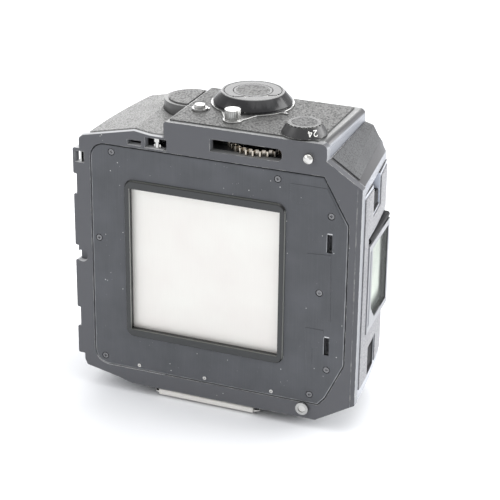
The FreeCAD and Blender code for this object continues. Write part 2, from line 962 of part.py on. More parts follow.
def make_upper_pin():
    """The domed locating pin, its head sunk a little in the flange over a thinner shank."""
    shank = cylinder("upper_pin_shank", s.upper_pin_x, front, s.upper_pin_z,
                     s.upper_shank_radius, s.flange_thick, "Y")
    head = cylinder("upper_pin_head", s.upper_pin_x, front - s.pin_proud, s.upper_pin_z,
                    s.upper_pin_radius, s.pin_proud + s.pin_seat_deep, "Y")
    dome = cone("upper_pin_dome", s.upper_pin_x, front - s.pin_proud - s.pin_dome,
                s.upper_pin_z, s.upper_pin_radius / 2, s.upper_pin_radius, s.pin_dome, "Y")
    return fuse("upper_locating_pin", [shank, head, dome])


def make_lower_pin():
    """The hollow locating pin and the plunger that slides in it."""
    length = s.pin_proud + s.flange_thick
    head = cylinder("lower_pin_head", s.lower_pin_x, front - s.pin_proud, s.lower_pin_z,
                    s.sleeve_radius, s.pin_proud + s.pin_seat_deep, "Y")
    shank = cylinder("lower_pin_shank", s.lower_pin_x, front, s.lower_pin_z,
                     s.sleeve_shank_radius, s.flange_thick, "Y")
    blank = fuse("lower_pin_blank", [head, shank])
    bore = cylinder("lower_pin_bore", s.lower_pin_x, front - s.pin_proud, s.lower_pin_z,
                    s.plunger_radius + s.slip, length, "Y")
    sleeve = cut("lower_locating_sleeve", blank, [bore])
    plunger = cylinder("interlock_plunger", s.lower_pin_x, front - s.pin_proud + s.air,
                       s.lower_pin_z, s.plunger_radius,
                       length + s.air, "Y")
    return [sleeve, plunger]


def make_darkslide():
    """The thin metal sheet in the gate, with a narrower tongue and a rolled hem."""
    sheet_low = s.flange_bottom + s.slide_side
    blade = box("darkslide_blade", (slide_left, slide_front, sheet_low),
                (slide_right, slide_back, slide_top))
    tongue = box("darkslide_tongue", (s.tongue_left, slide_front, hem_z),
                 (s.tongue_right, slide_back, sheet_low))
    long = s.tongue_right - s.tongue_left
    hem_top_z = s.hem_low + s.hem_tall - s.hem_thick / 2
    hem = cylinder("hem_low_roll", s.tongue_left, hem_y, hem_z, s.hem_thick / 2, long, "X")
    hem_top = cylinder("hem_top_roll", s.tongue_left, hem_y, hem_top_z, s.hem_thick / 2, long, "X")
    hem_flat = box("hem_flat", (s.tongue_left, hem_y - s.hem_thick / 2, hem_z),
                   (s.tongue_right, hem_y + s.hem_thick / 2, hem_top_z))
    whole = fuse("darkslide_blank", [blade, tongue, hem, hem_top, hem_flat])
    bore = cylinder("darkslide_bore", s.tongue_left, hem_y, hem_z, s.pull_wire + s.slip, long, "X")
    return cut("darkslide", whole, [bore])


def make_slide_pull():
    """The closed wire loop that turns in the darkslide's hem and lies folded back."""
    left = s.tongue_left - s.pull_side
    right = s.tongue_right + s.pull_side
    back = hem_y + s.pull_long
    bend = s.pull_bend
    bars = [
        cylinder("pull_front", left + bend, hem_y, hem_z, s.pull_wire, right - left - 2 * bend, "X"),
        cylinder("pull_back", left + bend, back, hem_z, s.pull_wire, right - left - 2 * bend, "X"),
        cylinder("pull_left", left, hem_y + bend, hem_z, s.pull_wire, back - hem_y - 2 * bend, "Y"),
        cylinder("pull_right", right, hem_y + bend, hem_z, s.pull_wire, back - hem_y - 2 * bend, "Y"),
    ]
    corners = [(left + bend, hem_y + bend, 180), (right - bend, hem_y + bend, 270),
               (right - bend, back - bend, 0), (left + bend, back - bend, 90)]
    for number, (x, y, angle) in enumerate(corners, 1):
        elbow = doc.addObject("Part::Torus", f"pull_bend_{number}")
        bind(elbow, "Radius1", bend)
        bind(elbow, "Radius2", s.pull_wire)
        elbow.Angle3 = 90
        bars.append(place(elbow, x, y, hem_z, (0, 0, 1), angle))
    return fuse("darkslide_pull", bars)


def make_light_trap():
    """Felt strips on both sides of the darkslide, in the mouth of its channel."""
    low = s.flange_bottom + s.slide_side
    high = low + s.hem_thick * 2
    strips = []
    for name, start, end in (
            ("felt_front", front + s.plate_thick, slide_front - s.slip),
            ("felt_back", slide_back + s.slip, slide_back + s.slide_play)):
        strips.append(box(name, (slide_left, start, low), (slide_right, end, high)))
    return group("light_trap", strips)


def make_tab_spring():
    """The bright strip of spring steel in the upper tab's window."""
    left = -tab_reach + s.tab_hole_edge + s.tab_spring_in
    return box("tab_spring", (left, front + s.slide_thick, s.tab_hole_z),
               (left + s.slide_thick, flange_back, s.tab_hole_z + s.tab_hole_tall))


# Body shell and covers

def crown_waste(inset):
    """What is cut from the left of the shell's crown, whose side curves in to the rear."""
    front_x = inset - s.crown_front_x
    rear_x = inset - s.crown_rear_x
    rear_y = crown_back - inset
    beyond = s.left_face + s.wall
    return [
        (-beyond, front),
        (front_x, front),
        (front_x, front + s.crown_front, s.crown_curve, True),
        (rear_x, rear_y - s.crown_round, s.crown_round, True),
        (rear_x + s.crown_round, rear_y),
        (rear_x + s.crown_round, rear + s.wall),
        (-beyond, rear + s.wall),
    ]


def make_body_shell():
    """The cast body behind the flange, open to the rear, with its crown over the door."""
    body = new_body("body_shell")
    outline = [
        (-s.left_low_x, s.flange_bottom),
        (s.right_low_x, s.flange_bottom),
        (s.shell_right, s.right_low_z),
        (s.shell_right, s.seam_z),
        (s.raised_right, s.seam_z),
        (s.raised_right, s.gear_floor),
        (-s.raised_left, s.gear_floor),
        (-s.raised_left, s.deck_z),
        (-s.deck_x, s.deck_z),
        (-s.ridge_x, s.ridge_z),
        (-s.facet_x, s.facet_z),
        (-s.left_face, s.left_top_z),
    ] + lower_left()
    add(body, "casting", "Y", [outline], flange_back, shell_back)
    eave = s.door_top + s.door_gap
    crown = [
        (-s.facet_x, eave),
        (-s.raised_left, eave),
        (-s.raised_left, s.deck_z),
        (-s.deck_x, s.deck_z),
        (-s.ridge_x, s.ridge_z),
        (-s.facet_x, s.facet_z),
    ]
    add(body, "crown", "Y", [crown], shell_back - s.wall, crown_back)
    take(body, "crown_side", "Z", [crown_waste(0)], s.crown_low, s.ridge_z + s.wall)
    chamber = rectangle(-s.chamber_left, s.chamber_low, s.chamber_right, s.chamber_top)
    take(body, "film_chamber", "Y", [chamber], flange_back, shell_back)
    pin_pocket = rectangle(s.thin_slot_left, s.pin_slot_z,
                           s.pin_slot_right, s.pin_slot_z + s.pin_slot_tall)
    take(body, "pin_pocket", "Y", [pin_pocket], flange_back,
         flange_back + s.pin_pocket_deep)
    bores = [
        (s.gear_x, gear_y, s.gear_axle_radius),
        (s.spool_x, spool_y, s.knob_shaft_radius + s.slip),
        (s.knob_x, knob_y, s.knob_shaft_radius + s.slip),
    ]
    take(body, "gear_bores", "Z", bores, s.chamber_top, s.gear_floor)
    plunger_way = (s.lower_pin_x, s.lower_pin_z, s.plunger_radius + s.air)
    take(body, "plunger_way", "Y", [plunger_way], flange_back,
         flange_back + s.plunger_travel + 3 * s.air)
    for number, (low, high) in enumerate(knuckle_spans(0), 1):
        leaf = rectangle(-s.left_face, shell_back - s.wall, -s.hinge_x, hinge_y)
        add(body, f"hinge_leaf_{number}", "Z", [leaf], low, high)
        add(body, f"knuckle_{number}", "Z", [(-s.hinge_x, hinge_y, s.hinge_radius)], low, high)
        bore = (-s.hinge_x, hinge_y, s.hinge_pin_radius)
        take(body, f"knuckle_bore_{number}", "Z", [bore], low, high)
    return body


def knuckle_spans(first):
    """The heights of every other hinge knuckle, with the gap between neighbours taken off."""
    spans = []
    for number in range(first, KNUCKLES, 2):
        low = s.hinge_low + s.knuckle_tall * number
        spans.append((low + s.knuckle_gap / 2, low + s.knuckle_tall - s.knuckle_gap / 2))
    return spans


def make_hinge_pin():
    """The door's hinge pin."""
    return cylinder("hinge_pin", -s.hinge_x, hinge_y, s.hinge_low, s.hinge_pin_radius,
                    s.knuckle_tall * KNUCKLES)


def make_bottom_cover():
    """The plate that the back stands on, with a bay for the folded wire pull."""
    body = new_body("bottom_cover")
    plan = rounded_rectangle(-s.base_left, front + s.base_front,
                             s.base_right, shell_back, s.base_round)
    add(body, "foot", "Z", [plan], 0, s.flange_bottom)
    bay = rectangle(s.tongue_left - 2 * s.pull_side, front,
                    s.tongue_right + 2 * s.pull_side, hem_y + s.pull_long + s.pull_side)
    take(body, "pull_bay", "Z", [bay], 0, hem_z + s.pull_wire + s.air)
    return body


def make_raised_cover():
    """The raised housing over the gear train."""
    body = new_body("raised_cover")
    profile = [
        (-s.raised_left, s.gear_floor),
        (s.raised_right, s.gear_floor),
        (s.raised_right, s.raised_top - s.raised_round, s.raised_round),
        (s.raised_right - s.raised_round, s.raised_top),
        (-s.raised_left + s.raised_left_round, s.raised_top, s.raised_left_round),
        (-s.raised_left, s.raised_top - s.raised_left_round),
    ]
    add(body, "housing", "Y", [profile], flange_back, shell_back)
    room = rectangle(-s.raised_left + s.wall, flange_back,
                     s.raised_right - s.wall, shell_back - s.wall)
    take(body, "gear_room", "Z", [room], s.gear_floor, s.raised_top - s.roof_thick)
    bores = [
        (s.knob_x, knob_y, s.knob_shaft_radius + s.slip),
        (s.selector_x, selector_y, s.selector_shaft_radius + s.slip),
        (s.button_x, button_y, s.button_radius + s.slip),
        (s.counter_x, counter_y, s.counter_axle_radius),
    ]
    take(body, "shaft_bores", "Z", bores, s.raised_top - s.roof_thick, s.raised_top)
    window = rectangle(s.counter_x - s.counter_window_wide / 2, counter_window_low,
                       s.counter_x + s.counter_window_wide / 2,
                       counter_window_low + s.counter_window_tall)
    take(body, "counter_opening", "Y", [window], shell_back - s.wall, shell_back)
    return body


def make_counter_window():
    """The clear window at the rear, over the counter's rim."""
    left = s.counter_x - s.counter_window_wide / 2
    return box("counter_window", (left, shell_back - s.wall, counter_window_low),
               (left + s.counter_window_wide, shell_back,
                counter_window_low + s.counter_window_tall))


def between(near_value, far_value, share):
    """A value part of the way from one value to another."""
    return near_value + (far_value - near_value) * share


def shoulder_line(share):
    """The shoulder's foot, bend and low edge, at a share of the way to its rear end."""
    bend_x = between(s.raised_right, s.shoulder_low_x, SHOULDER_BEND)
    bend_z = between(s.shoulder_foot_z, s.shoulder_low_z, SHOULDER_BEND)
    return [
        (s.raised_right, between(s.shoulder_foot_z, s.shoulder_rear_foot_z, share)),
        (between(bend_x, s.shoulder_rear_bend_x, share),
         between(bend_z, s.shoulder_rear_bend_z, share)),
        (between(s.shoulder_low_x, s.shoulder_rear_low_x, share),
         between(s.shoulder_low_z, s.shoulder_rear_low_z, share)),
    ]


def make_shoulder_cover():
    """The bevelled shoulder at the upper right, which narrows to the rear."""
    body = new_body("shoulder_cover")
    foot, bend, low = shoulder_line(0)
    front_profile = [(s.raised_right, s.seam_z), (s.right_face, s.seam_z), low, bend, foot]
    foot, bend, low = shoulder_line(1)
    rear_profile = [(s.raised_right, s.seam_z), (s.shoulder_rear_low_x + s.air, s.seam_z),
                    low, bend, foot]
    near_sketch = new_sketch(body, "shoulder_front", "XZ_Plane", -flange_back)
    draw(near_sketch, [front_profile])
    far_sketch = new_sketch(body, "shoulder_rear", "XZ_Plane", -shell_back)
    draw(far_sketch, [rear_profile])
    loft = body.newObject("PartDesign::AdditiveLoft", "shoulder_loft")
    loft.Profile = near_sketch
    loft.Sections = [far_sketch]
    loft.Ruled = True
    return body


def hide_rise(start, end):
    """How the leatherette's thickness goes outward on a slope that falls to the right."""
    run = end[0] - start[0]
    drop = start[1] - end[1]
    slope = root(run * run + drop * drop)
    return drop / slope * s.leather_thick, run / slope * s.leather_thick


def make_shoulder_leather():
    """Leatherette on the bevel of the shoulder."""
    body = new_body("shoulder_leather")
    profiles = []
    for share in (SHOULDER_HIDE_START, SHOULDER_HIDE_END):
        foot, bend, low = shoulder_line(share)
        start = [between(a, b, SHOULDER_HIDE_INSET) for a, b in zip(foot, bend)]
        end = [between(a, b, SHOULDER_HIDE_REACH) for a, b in zip(bend, low)]
        upper = hide_rise(foot, bend)
        lower = hide_rise(bend, low)
        corners = [
            tuple(start),
            bend,
            tuple(end),
            (end[0] + lower[0], end[1] + lower[1]),
            (bend[0] + (upper[0] + lower[0]) / 2, bend[1] + (upper[1] + lower[1]) / 2),
            (start[0] + upper[0], start[1] + upper[1]),
        ]
        at_y = between(flange_back, shell_back, share)
        sketch = new_sketch(body, f"leather_profile_{len(profiles) + 1}", "XZ_Plane", -at_y)
        draw(sketch, [corners])
        profiles.append(sketch)
    loft = body.newObject("PartDesign::AdditiveLoft", "leather_loft")
    loft.Profile = profiles[0]
    loft.Sections = [profiles[1]]
    loft.Ruled = True
    return body


side_run_x = s.side_rear_x - s.right_face
side_run_y = shell_rear - s.flange_thick
side_chord = root(side_run_x * side_run_x + side_run_y * side_run_y)
side_reach = leg(s.side_curve, side_chord / 2)
side_centre_x = (s.side_rear_x + s.right_face) / 2 - side_run_y / side_chord * side_reach
side_centre_y = (shell_rear + s.flange_thick) / 2 + side_run_x / side_chord * side_reach


def side_x(behind):
    """Where the side cover's curve stands at a distance behind the front."""
    return side_centre_x + leg(s.side_curve, behind - side_centre_y)


def latch_recesses():
    """The thumb recesses in the side cover: lower and upper end of each."""
    return [(s.lower_latch_low, s.lower_latch_low + s.lower_latch_tall),
            (s.upper_latch_low, s.seam_z)]


def latch_tabs():
    """Lower end, height and travel of the two latch tabs."""
    return [(s.lower_tab_low, s.lower_tab_tall, s.lower_latch_travel),
            (s.upper_tab_low, s.upper_tab_tall, s.upper_latch_travel)]


def on_window(feature):
    """Moves a piece of the memo window from its own frame onto the sloping side."""
    return place(feature, s.window_seat_x, front + s.window_front, s.window_low,
                 (0, 0, 1), s.window_tilt)


def make_side_cover():
    """The curved cover of the right side."""
    body = new_body("side_panel")
    plan = [
        (s.shell_right, flange_back),
        (s.right_face, flange_back, s.side_curve),
        (s.side_rear_x, shell_back),
        (s.shell_right, shell_back),
    ]
    add(body, "panel", "Z", [plan], s.side_low, s.seam_z - s.air)
    out = s.right_face + s.latch_tab_proud
    start = front + s.latch_front
    end = start + s.latch_wide
    recesses = [rectangle(start, low, end, high) for low, high in latch_recesses()]
    take(body, "thumb_recesses", "X", recesses, s.latch_floor, out)
    middle = (start + end) / 2
    half = s.latch_stem_wide / 2 + s.air
    slots = []
    for low, tall, travel in latch_tabs():
        centre = low + tall / 2
        slots.append(rectangle(middle - half, centre - s.latch_stem_tall / 2 - s.air,
                               shell_back, centre + s.latch_stem_tall / 2 + travel + s.air))
    take(body, "latch_slots", "X", slots, s.shell_right, s.latch_floor)
    seat = box("cover_window_seat", (0, 0, 0),
               (s.window_rim * 2, s.window_long, s.window_tall + 2 * s.window_bar_radius))
    return cut("side_cover", body, [on_window(seat)])


def make_latch(name, low, tall):
    """A thumb tab that slides upwards, with the rod that runs back to the door."""
    start = front + s.latch_front + s.latch_side_gap
    end = front + s.latch_front + s.latch_wide - s.latch_side_gap
    middle = (start + end) / 2
    centre = low + tall / 2
    pad = box(f"{name}_pad", (s.latch_floor + s.slip, start, low),
              (s.latch_floor + s.latch_tab_proud, end, low + tall))
    rod = box(f"{name}_rod", (s.shell_right + s.slip, middle - s.latch_stem_wide / 2,
                              centre - s.latch_stem_tall / 2),
              (s.latch_floor - s.slip, shell_back - s.air, centre + s.latch_stem_tall / 2))
    neck = box(f"{name}_neck", (s.latch_floor - s.slip, middle - s.latch_stem_wide / 2,
                                centre - s.latch_stem_tall / 2),
               (s.latch_floor + s.slip, middle + s.latch_stem_wide / 2,
                centre + s.latch_stem_tall / 2))
    return fuse(name, [pad, rod, neck])


def make_side_leather():
    """Leatherette on the side cover, cut out round the recesses and the window."""
    body = new_body("side_hide")
    start = s.flange_thick + s.side_hide_gap
    end = shell_rear - s.side_border
    plan = [
        (side_x(start), front + start),
        (side_x(start) + s.leather_thick, front + start, s.side_curve),
        (side_x(end) + s.leather_thick, front + end),
        (side_x(end), front + end, s.side_curve, True),
    ]
    add(body, "hide", "Z", [plan], s.side_hide_low, s.seam_z - s.side_border)
    out = s.right_face + s.latch_tab_proud
    begin = front + s.latch_front - s.side_border / 2
    finish = begin + s.latch_wide + s.side_border
    gaps = [rectangle(begin, low - s.side_border / 2, finish, high + s.side_border / 2)
            for low, high in latch_recesses()]
    take(body, "recess_gaps", "X", gaps, s.latch_floor, out)
    grow = s.side_border / 2
    seat = box("hide_window_seat", (-s.window_rim, -grow, -grow),
               (s.window_rim * 2, s.window_long + grow,
                s.window_tall + 2 * s.window_bar_radius + grow))
    return cut("side_leather", body, [on_window(seat)])


def window_opening():
    """The memo window's clear opening, with its lower front corner cut off."""
    left = s.window_rim + s.window_channel
    right = s.window_long - s.window_rim
    low = s.window_rim
    high = s.window_tall - s.window_rim
    return [(left + s.window_cut, low), (right, low), (right, high), (left, high),
            (left, low + s.window_cut)]


def make_window():
    """The memo window: frame, card, glass, and the bar along its top."""
    frame = new_body("window_frame")
    outer = rectangle(0, 0, s.window_long, s.window_tall)
    add(frame, "window_rim_pad", "X", [outer], 0, s.window_frame_thick)
    take(frame, "window_hole", "X", [window_opening()], 0, s.window_frame_thick)
    grooves = []
    for step in (1, 2):
        start = s.window_groove_step * step
        grooves.append(rectangle(start, s.window_rim, start + s.window_groove_wide,
                                 s.window_tall - s.window_rim))
    take(frame, "window_grooves", "X", grooves,
         s.window_frame_thick - s.window_groove_deep, s.window_frame_thick)
    card = new_body("memo_card")
    add(card, "card", "X", [window_opening()], 0, s.card_thick)
    glass = new_body("window_glass")
    add(glass, "pane", "X", [window_opening()], s.card_thick, s.card_thick + s.glass_thick)
    back = box("window_bar_back", (0, 0, s.window_tall),
               (s.window_bar_radius, s.window_long, s.window_tall + 2 * s.window_bar_radius))
    rod = cylinder("window_bar_rod", s.window_bar_radius, s.window_channel,
                   s.window_tall + s.window_bar_radius, s.window_bar_radius,
                   s.window_long - s.window_channel, "Y")
    bar = fuse("window_bar", [back, rod])
    return [on_window(piece) for piece in (frame, card, glass, bar)]


def make_left_leather():
    """Leatherette on the lower deck and its sloping facet, up to the round housing."""
    body = new_body("deck_leather")
    inset = s.side_border
    slope = (s.ridge_z - s.facet_z) / (s.ridge_x - s.facet_x)
    start_x = -s.facet_x + inset
    start_z = s.facet_z - slope * inset
    thick = s.leather_thick
    band = [
        (start_x, start_z),
        (-s.ridge_x, s.ridge_z),
        (-s.deck_x, s.deck_z),
        (-s.raised_left - s.air, s.deck_z),
        (-s.raised_left - s.air, s.deck_z + thick),
        (-s.deck_x, s.deck_z + thick),
        (-s.ridge_x, s.ridge_z + thick),
        (start_x, start_z + thick),
    ]
    add(body, "deck_band", "Y", [band], front + inset / 2, crown_back - s.crown_border)
    take(body, "band_side", "Z", [crown_waste(s.crown_border)], s.crown_low,
         s.ridge_z + 2 * thick)
    room = (s.housing_x, housing_y, s.housing_radius + s.air)
    take(body, "housing_room", "Z", [room], s.facet_z, s.ridge_z + 2 * thick)
    return body


def make_raised_leather():
    """Leatherette on the raised cover, with holes for what stands through it."""
    body = new_body("raised_leather")
    edge = s.side_border
    plan = rectangle(-s.raised_left + edge, front + edge + s.air,
                     s.raised_right - s.raised_round - edge, shell_back - edge)
    add(body, "top_hide", "Z", [plan], s.raised_top, leather_top)
    holes = [
        (s.knob_x, knob_y, s.knob_shaft_radius + s.slip),
        (s.selector_x, selector_y, s.selector_shaft_radius + s.slip),
        (s.button_x, button_y, s.collar_radius),
    ]
    take(body, "top_hide_holes", "Z", holes, s.raised_top, leather_top)
    return body


def make_round_housing():
    """The round housing at the rear left, cut off where it meets the raised cover."""
    base = s.deck_z
    right = -s.raised_left
    blank = cylinder("housing_blank", s.housing_x, housing_y, base, s.housing_radius,
                     s.housing_top - base)
    beyond = box("housing_beyond", (right, front, base), (s.raised_right, rear, s.raised_top))
    behind = box("housing_rear", (-s.left_face, shell_back, base),
                 (s.raised_right, rear, s.raised_top))
    deck = new_body("housing_deck")
    under = [(-s.facet_x, s.gear_floor), (right, s.gear_floor), (right, s.deck_z),
             (-s.deck_x, s.deck_z), (-s.ridge_x, s.ridge_z), (-s.facet_x, s.facet_z)]
    add(deck, "deck_block", "Y", [under], front, shell_back)
    body = cut("round_housing", blank, [beyond, behind, deck])
    hide_low = s.housing_top
    inner = s.housing_radius - s.side_border
    disc = cylinder("housing_hide_blank", s.housing_x, housing_y, hide_low, inner,
                    s.leather_thick)
    limit = box("housing_hide_side", (right - s.air, front, hide_low),
                (s.raised_right, rear, s.raised_top))
    back = box("housing_hide_rear", (-s.left_face, shell_back - s.side_border, hide_low),
               (s.raised_right, rear, s.raised_top))
    return [body, cut("housing_leather", disc, [limit, back])]


# Controls on the top

def polar(x, y, radius, angle):
    """A point at a distance and an angle in degrees from another point."""
    turn = math.radians(angle)
    return x + radius * math.cos(turn), y + radius * math.sin(turn)


def make_lever_plate():
    """The thin plate under the knob, with an arm for its knurled stud and a pointer."""
    body = new_body("lever_plate")
    high = ring_low + s.ring_thick
    add(body, "ring", "Z", [(s.knob_x, knob_y, s.ring_radius)], ring_low, high)
    end_y = knob_y - s.lever_reach
    end_x = s.knob_x + s.lever_side
    add(body, "arm_end", "Z", [(end_x, end_y, s.lever_end_radius)], ring_low, high)
    root_y = knob_y - s.lever_root_reach
    arm = [
        (end_x - s.lever_end_half, end_y),
        (end_x + s.lever_end_half, end_y),
        (s.knob_x + s.lever_root_half, root_y),
        (s.knob_x - s.lever_root_half, root_y),
    ]
    add(body, "arm", "Z", [arm], ring_low, high)
    tip_x, tip_y = polar(s.knob_x, knob_y, s.ring_radius + s.pointer_long, POINTER_ANGLE)
    base_radius = s.ring_radius - s.wall
    left_x, left_y = polar(s.knob_x, knob_y, base_radius, POINTER_ANGLE + POINTER_SPREAD)
    low_x, low_y = polar(s.knob_x, knob_y, base_radius, POINTER_ANGLE - POINTER_SPREAD)
    pointer = [(tip_x, tip_y), (left_x, left_y), (low_x, low_y)]
    add(body, "pointer", "Z", [pointer], ring_low, high)
    bore = (s.knob_x, knob_y, s.knob_shaft_radius + s.slip)
    take(body, "ring_bore", "Z", [bore], ring_low, high)
    return body


def make_lever_stud():
    """The knurled stud that turns the lever plate."""
    body = new_body("lever_stud")
    low = ring_low + s.ring_thick
    radius = s.lever_knob_radius
    add(body, "stud", "Z", [(0, 0, radius)], low, low + s.lever_knob_tall)
    half = s.knurl_half
    root_half = s.knurl_root_half
    flute = [(radius - s.knurl_depth, -root_half), (radius + s.knurl_depth, -half),
             (radius + s.knurl_depth, half), (radius - s.knurl_depth, root_half)]
    groove = take(body, "flute", "Z", [flute], low + s.knurl_depth,
                  low + s.lever_knob_tall)
    repeat_around(body, groove, KNURLS)
    return place(body, s.knob_x + s.lever_side, knob_y - s.lever_reach, 0)


def repeat_around(body, feature, count):
    """Repeats a feature evenly around the body's upright axis."""
    doc.recompute()
    pattern = body.newObject("PartDesign::PolarPattern", f"{feature.Name}_pattern")
    pattern.Originals = [feature]
    pattern.Axis = (origin_item(body, "Z_Axis"), [""])
    pattern.Angle = 360
    pattern.Occurrences = count
    body.Tip = pattern
    return pattern


def make_winding_knob():
    """The conical knob, with a ring-shaped recess for its folding key."""
    foot = cylinder("knob_foot", s.knob_x, knob_y, knob_low, s.knob_base_radius, s.knob_foot)
    skirt_low = knob_low + s.knob_foot
    skirt = cone("knob_skirt", s.knob_x, knob_y, skirt_low, s.knob_base_radius,
                 s.knob_top_radius, s.knob_top - skirt_low)
    blank = fuse("knob_blank", [foot, skirt])
    recess_low = s.knob_top - s.key_thick - s.air
    recess_tall = s.key_thick + s.air
    inner = s.key_inner - s.air
    outer = s.key_outer + s.air
    groove = cylinder("key_recess_outer", 0, 0, recess_low, outer, recess_tall)
    island = cylinder("key_recess_island", 0, 0, recess_low, inner, recess_tall)
    sill = box("key_recess_sill", (-outer, -outer, recess_low),
               (outer, -s.key_chord - s.key_thick / 2 - s.air, s.knob_top))
    recess = on_knob(cut("key_recess", groove, [island, sill]))
    cap_seat = cylinder("cap_seat", s.knob_x, knob_y, s.knob_top - s.leather_thick,
                        s.cap_radius, s.leather_thick)
    bore = cylinder("knob_bore", s.knob_x, knob_y, knob_low, s.knob_shaft_radius,
                    s.knob_foot + s.ring_thick)
    pin_holes = make_key_pins("key_pin_holes")
    knob = cut("winding_knob", blank, [recess, cap_seat, bore, pin_holes])
    cap = cylinder("knob_leather", s.knob_x, knob_y, s.knob_top - s.leather_thick,
                   s.cap_radius, s.leather_thick)
    return [knob, cap]


def on_knob(feature):
    """Moves a piece of the folding key from the knob's axis to its place on the knob."""
    return place(feature, s.knob_x, knob_y, 0, (0, 0, 1), KEY_ANGLE)


def make_key_pins(name):
    """The two pins on the key's hinge line, one at each end of the key."""
    middle_z = s.knob_top - s.key_thick / 2
    pins = []
    for side, start in (("right", s.key_pin_start), ("left", -s.key_pin_end)):
        pins.append(cylinder(f"{name}_{side}", start, -s.key_chord, middle_z,
                             s.key_pin_radius, s.key_pin_end - s.key_pin_start, "X"))
    return on_knob(group(name, pins))


def make_winding_key():
    """The open ring that folds up out of the knob, and its two pivot pins."""
    low = s.knob_top - s.key_thick
    middle_z = s.knob_top - s.key_thick / 2
    outer = s.key_outer
    disc = cylinder("key_outer_disc", 0, 0, low, outer, s.key_thick)
    middle = cylinder("key_inner_disc", 0, 0, low, s.key_inner, s.key_thick)
    beyond = box("key_beyond", (-outer, -outer, low), (outer, -s.key_chord, s.knob_top))
    tip_top = -s.key_chord + s.key_end_tall
    right_tip = box("key_right_tip", (s.key_end_half, -outer, low), (outer, tip_top, s.knob_top))
    left_tip = box("key_left_tip", (-outer, -outer, low), (-s.key_end_half, tip_top, s.knob_top))
    between_ends = box("key_between_ends", (-s.key_eye_start, -outer, low),
                       (s.key_eye_start, 0, s.knob_top))
    ring = cut("key_ring", disc, [middle, beyond, right_tip, left_tip, between_ends])
    eye_long = s.key_eye_end - s.key_eye_start
    solids = [ring]
    tools = []
    for side, start in (("right", s.key_eye_start), ("left", -s.key_eye_end)):
        solids.append(cylinder(f"key_eye_{side}", start, -s.key_chord, middle_z,
                               s.key_thick / 2, eye_long, "X"))
        tools.append(cylinder(f"key_eye_bore_{side}", start, -s.key_chord, middle_z,
                              s.key_pin_radius + s.slip, s.key_end_half - s.key_eye_start, "X"))
    for tool in tools[1:]:
        bind(tool, "Placement.Base.x", -s.key_end_half)
    key = cut("winding_key", fuse("key_blank", solids), tools)
    return [on_knob(key), make_key_pins("key_pins")]


def make_selector():
    """The film length selector: notched cone, leatherette, and the shaft below."""
    low = leather_top + s.slip
    high = low + s.selector_tall
    skirt = cone("selector_skirt", s.selector_x, selector_y, low, s.selector_radius,
                 s.selector_top_radius, s.selector_tall)
    notches = []
    size = s.selector_notch
    for number in range(SELECTOR_NOTCHES):
        notch = box(f"selector_notch_{number + 1}", (0, 0, 0), (size, size, size))
        angle = 360 / SELECTOR_NOTCHES * number
        x, y = polar(s.selector_x, selector_y, s.selector_top_radius - size / 2, angle)
        notches.append(place(notch, x, y, high - size / 2, (0, 0, 1), angle))
    bore = cylinder("selector_bore", s.selector_x, selector_y, low,
                    s.selector_shaft_radius, s.selector_tall / 2)
    seat = cylinder("selector_seat", s.selector_x, selector_y, high - s.leather_thick,
                    s.selector_top_radius - s.side_border, s.leather_thick)
    dial = cut("selector_dial", skirt, notches + [bore, seat])
    cap = cylinder("selector_leather", s.selector_x, selector_y, high - s.leather_thick,
                   s.selector_top_radius - s.side_border, s.leather_thick)
    roof = s.raised_top - s.roof_thick
    shaft = cylinder("selector_stem", s.selector_x, selector_y, roof - s.wall,
                     s.selector_shaft_radius, low + s.selector_tall / 2 - roof + s.wall)
    clip = cylinder("selector_clip", s.selector_x, selector_y, roof - s.wall,
                    s.selector_clip_radius, s.wall - s.slip)
    return [dial, cap, fuse("selector_shaft", [shaft, clip])]


def make_release_button():
    """The small release button and the collar that it slides in."""
    low = s.raised_top
    high = leather_top + s.collar_tall
    round_part = cylinder("collar_round", s.button_x, button_y, low, s.collar_radius, high - low)
    ear_x, ear_y = polar(s.button_x, button_y, s.collar_radius, COLLAR_EAR_ANGLE)
    ear = cylinder("collar_ear", ear_x, ear_y, leather_top, s.collar_ear_radius,
                   s.collar_tall / 2)
    blank = fuse("collar_blank", [round_part, ear])
    bore = cylinder("collar_bore", s.button_x, button_y, low, s.button_radius + s.slip, high - low)
    collar = cut("button_collar", blank, [bore])
    top = high + s.button_tall - s.collar_tall
    head = cylinder("button_head", s.button_x, button_y, high - s.button_skirt,
                    s.button_radius, top - high + s.button_skirt)
    stem_low = s.raised_top - s.roof_thick - s.wall
    stem = cylinder("button_stem", s.button_x, button_y, stem_low, s.button_stem_radius,
                    high - stem_low)
    clip = cylinder("button_clip", s.button_x, button_y, stem_low,
                    s.button_clip_radius, s.wall - s.slip)
    return [collar, fuse("release_button", [head, stem, clip])]


# Gear train and frame counter

def make_gear(name, teeth, x, y, phase, bore, shaft=None):
    """A spur gear in the train's plane. A shaft is (radius, low end, high end)."""
    body = new_body(name)
    pitch = s.gear_module * teeth / 2
    root_radius = pitch - s.gear_module * TOOTH_BELOW
    tip_radius = pitch + s.gear_module * TOOTH_ABOVE
    low, high = s.gear_low, s.gear_low + s.gear_tall
    add(body, f"{name}_disc", "Z", [(0, 0, root_radius)], low, high)
    base_half = s.gear_module * TOOTH_BASE_HALF
    tip_half = s.gear_module * TOOTH_TIP_HALF
    tooth = [(root_radius - tip_half, -base_half), (tip_radius, -tip_half),
             (tip_radius, tip_half), (root_radius - tip_half, base_half)]
    one = add(body, f"{name}_tooth", "Z", [tooth], low, high)
    repeat_around(body, one, teeth)
    if shaft is not None:
        radius, start, end = shaft
        add(body, f"{name}_shaft", "Z", [(0, 0, radius)], start, end)
    if bore is not None:
        take(body, f"{name}_bore", "Z", [(0, 0, bore)], low, high)
    return place(body, x, y, 0, (0, 0, 1), phase)


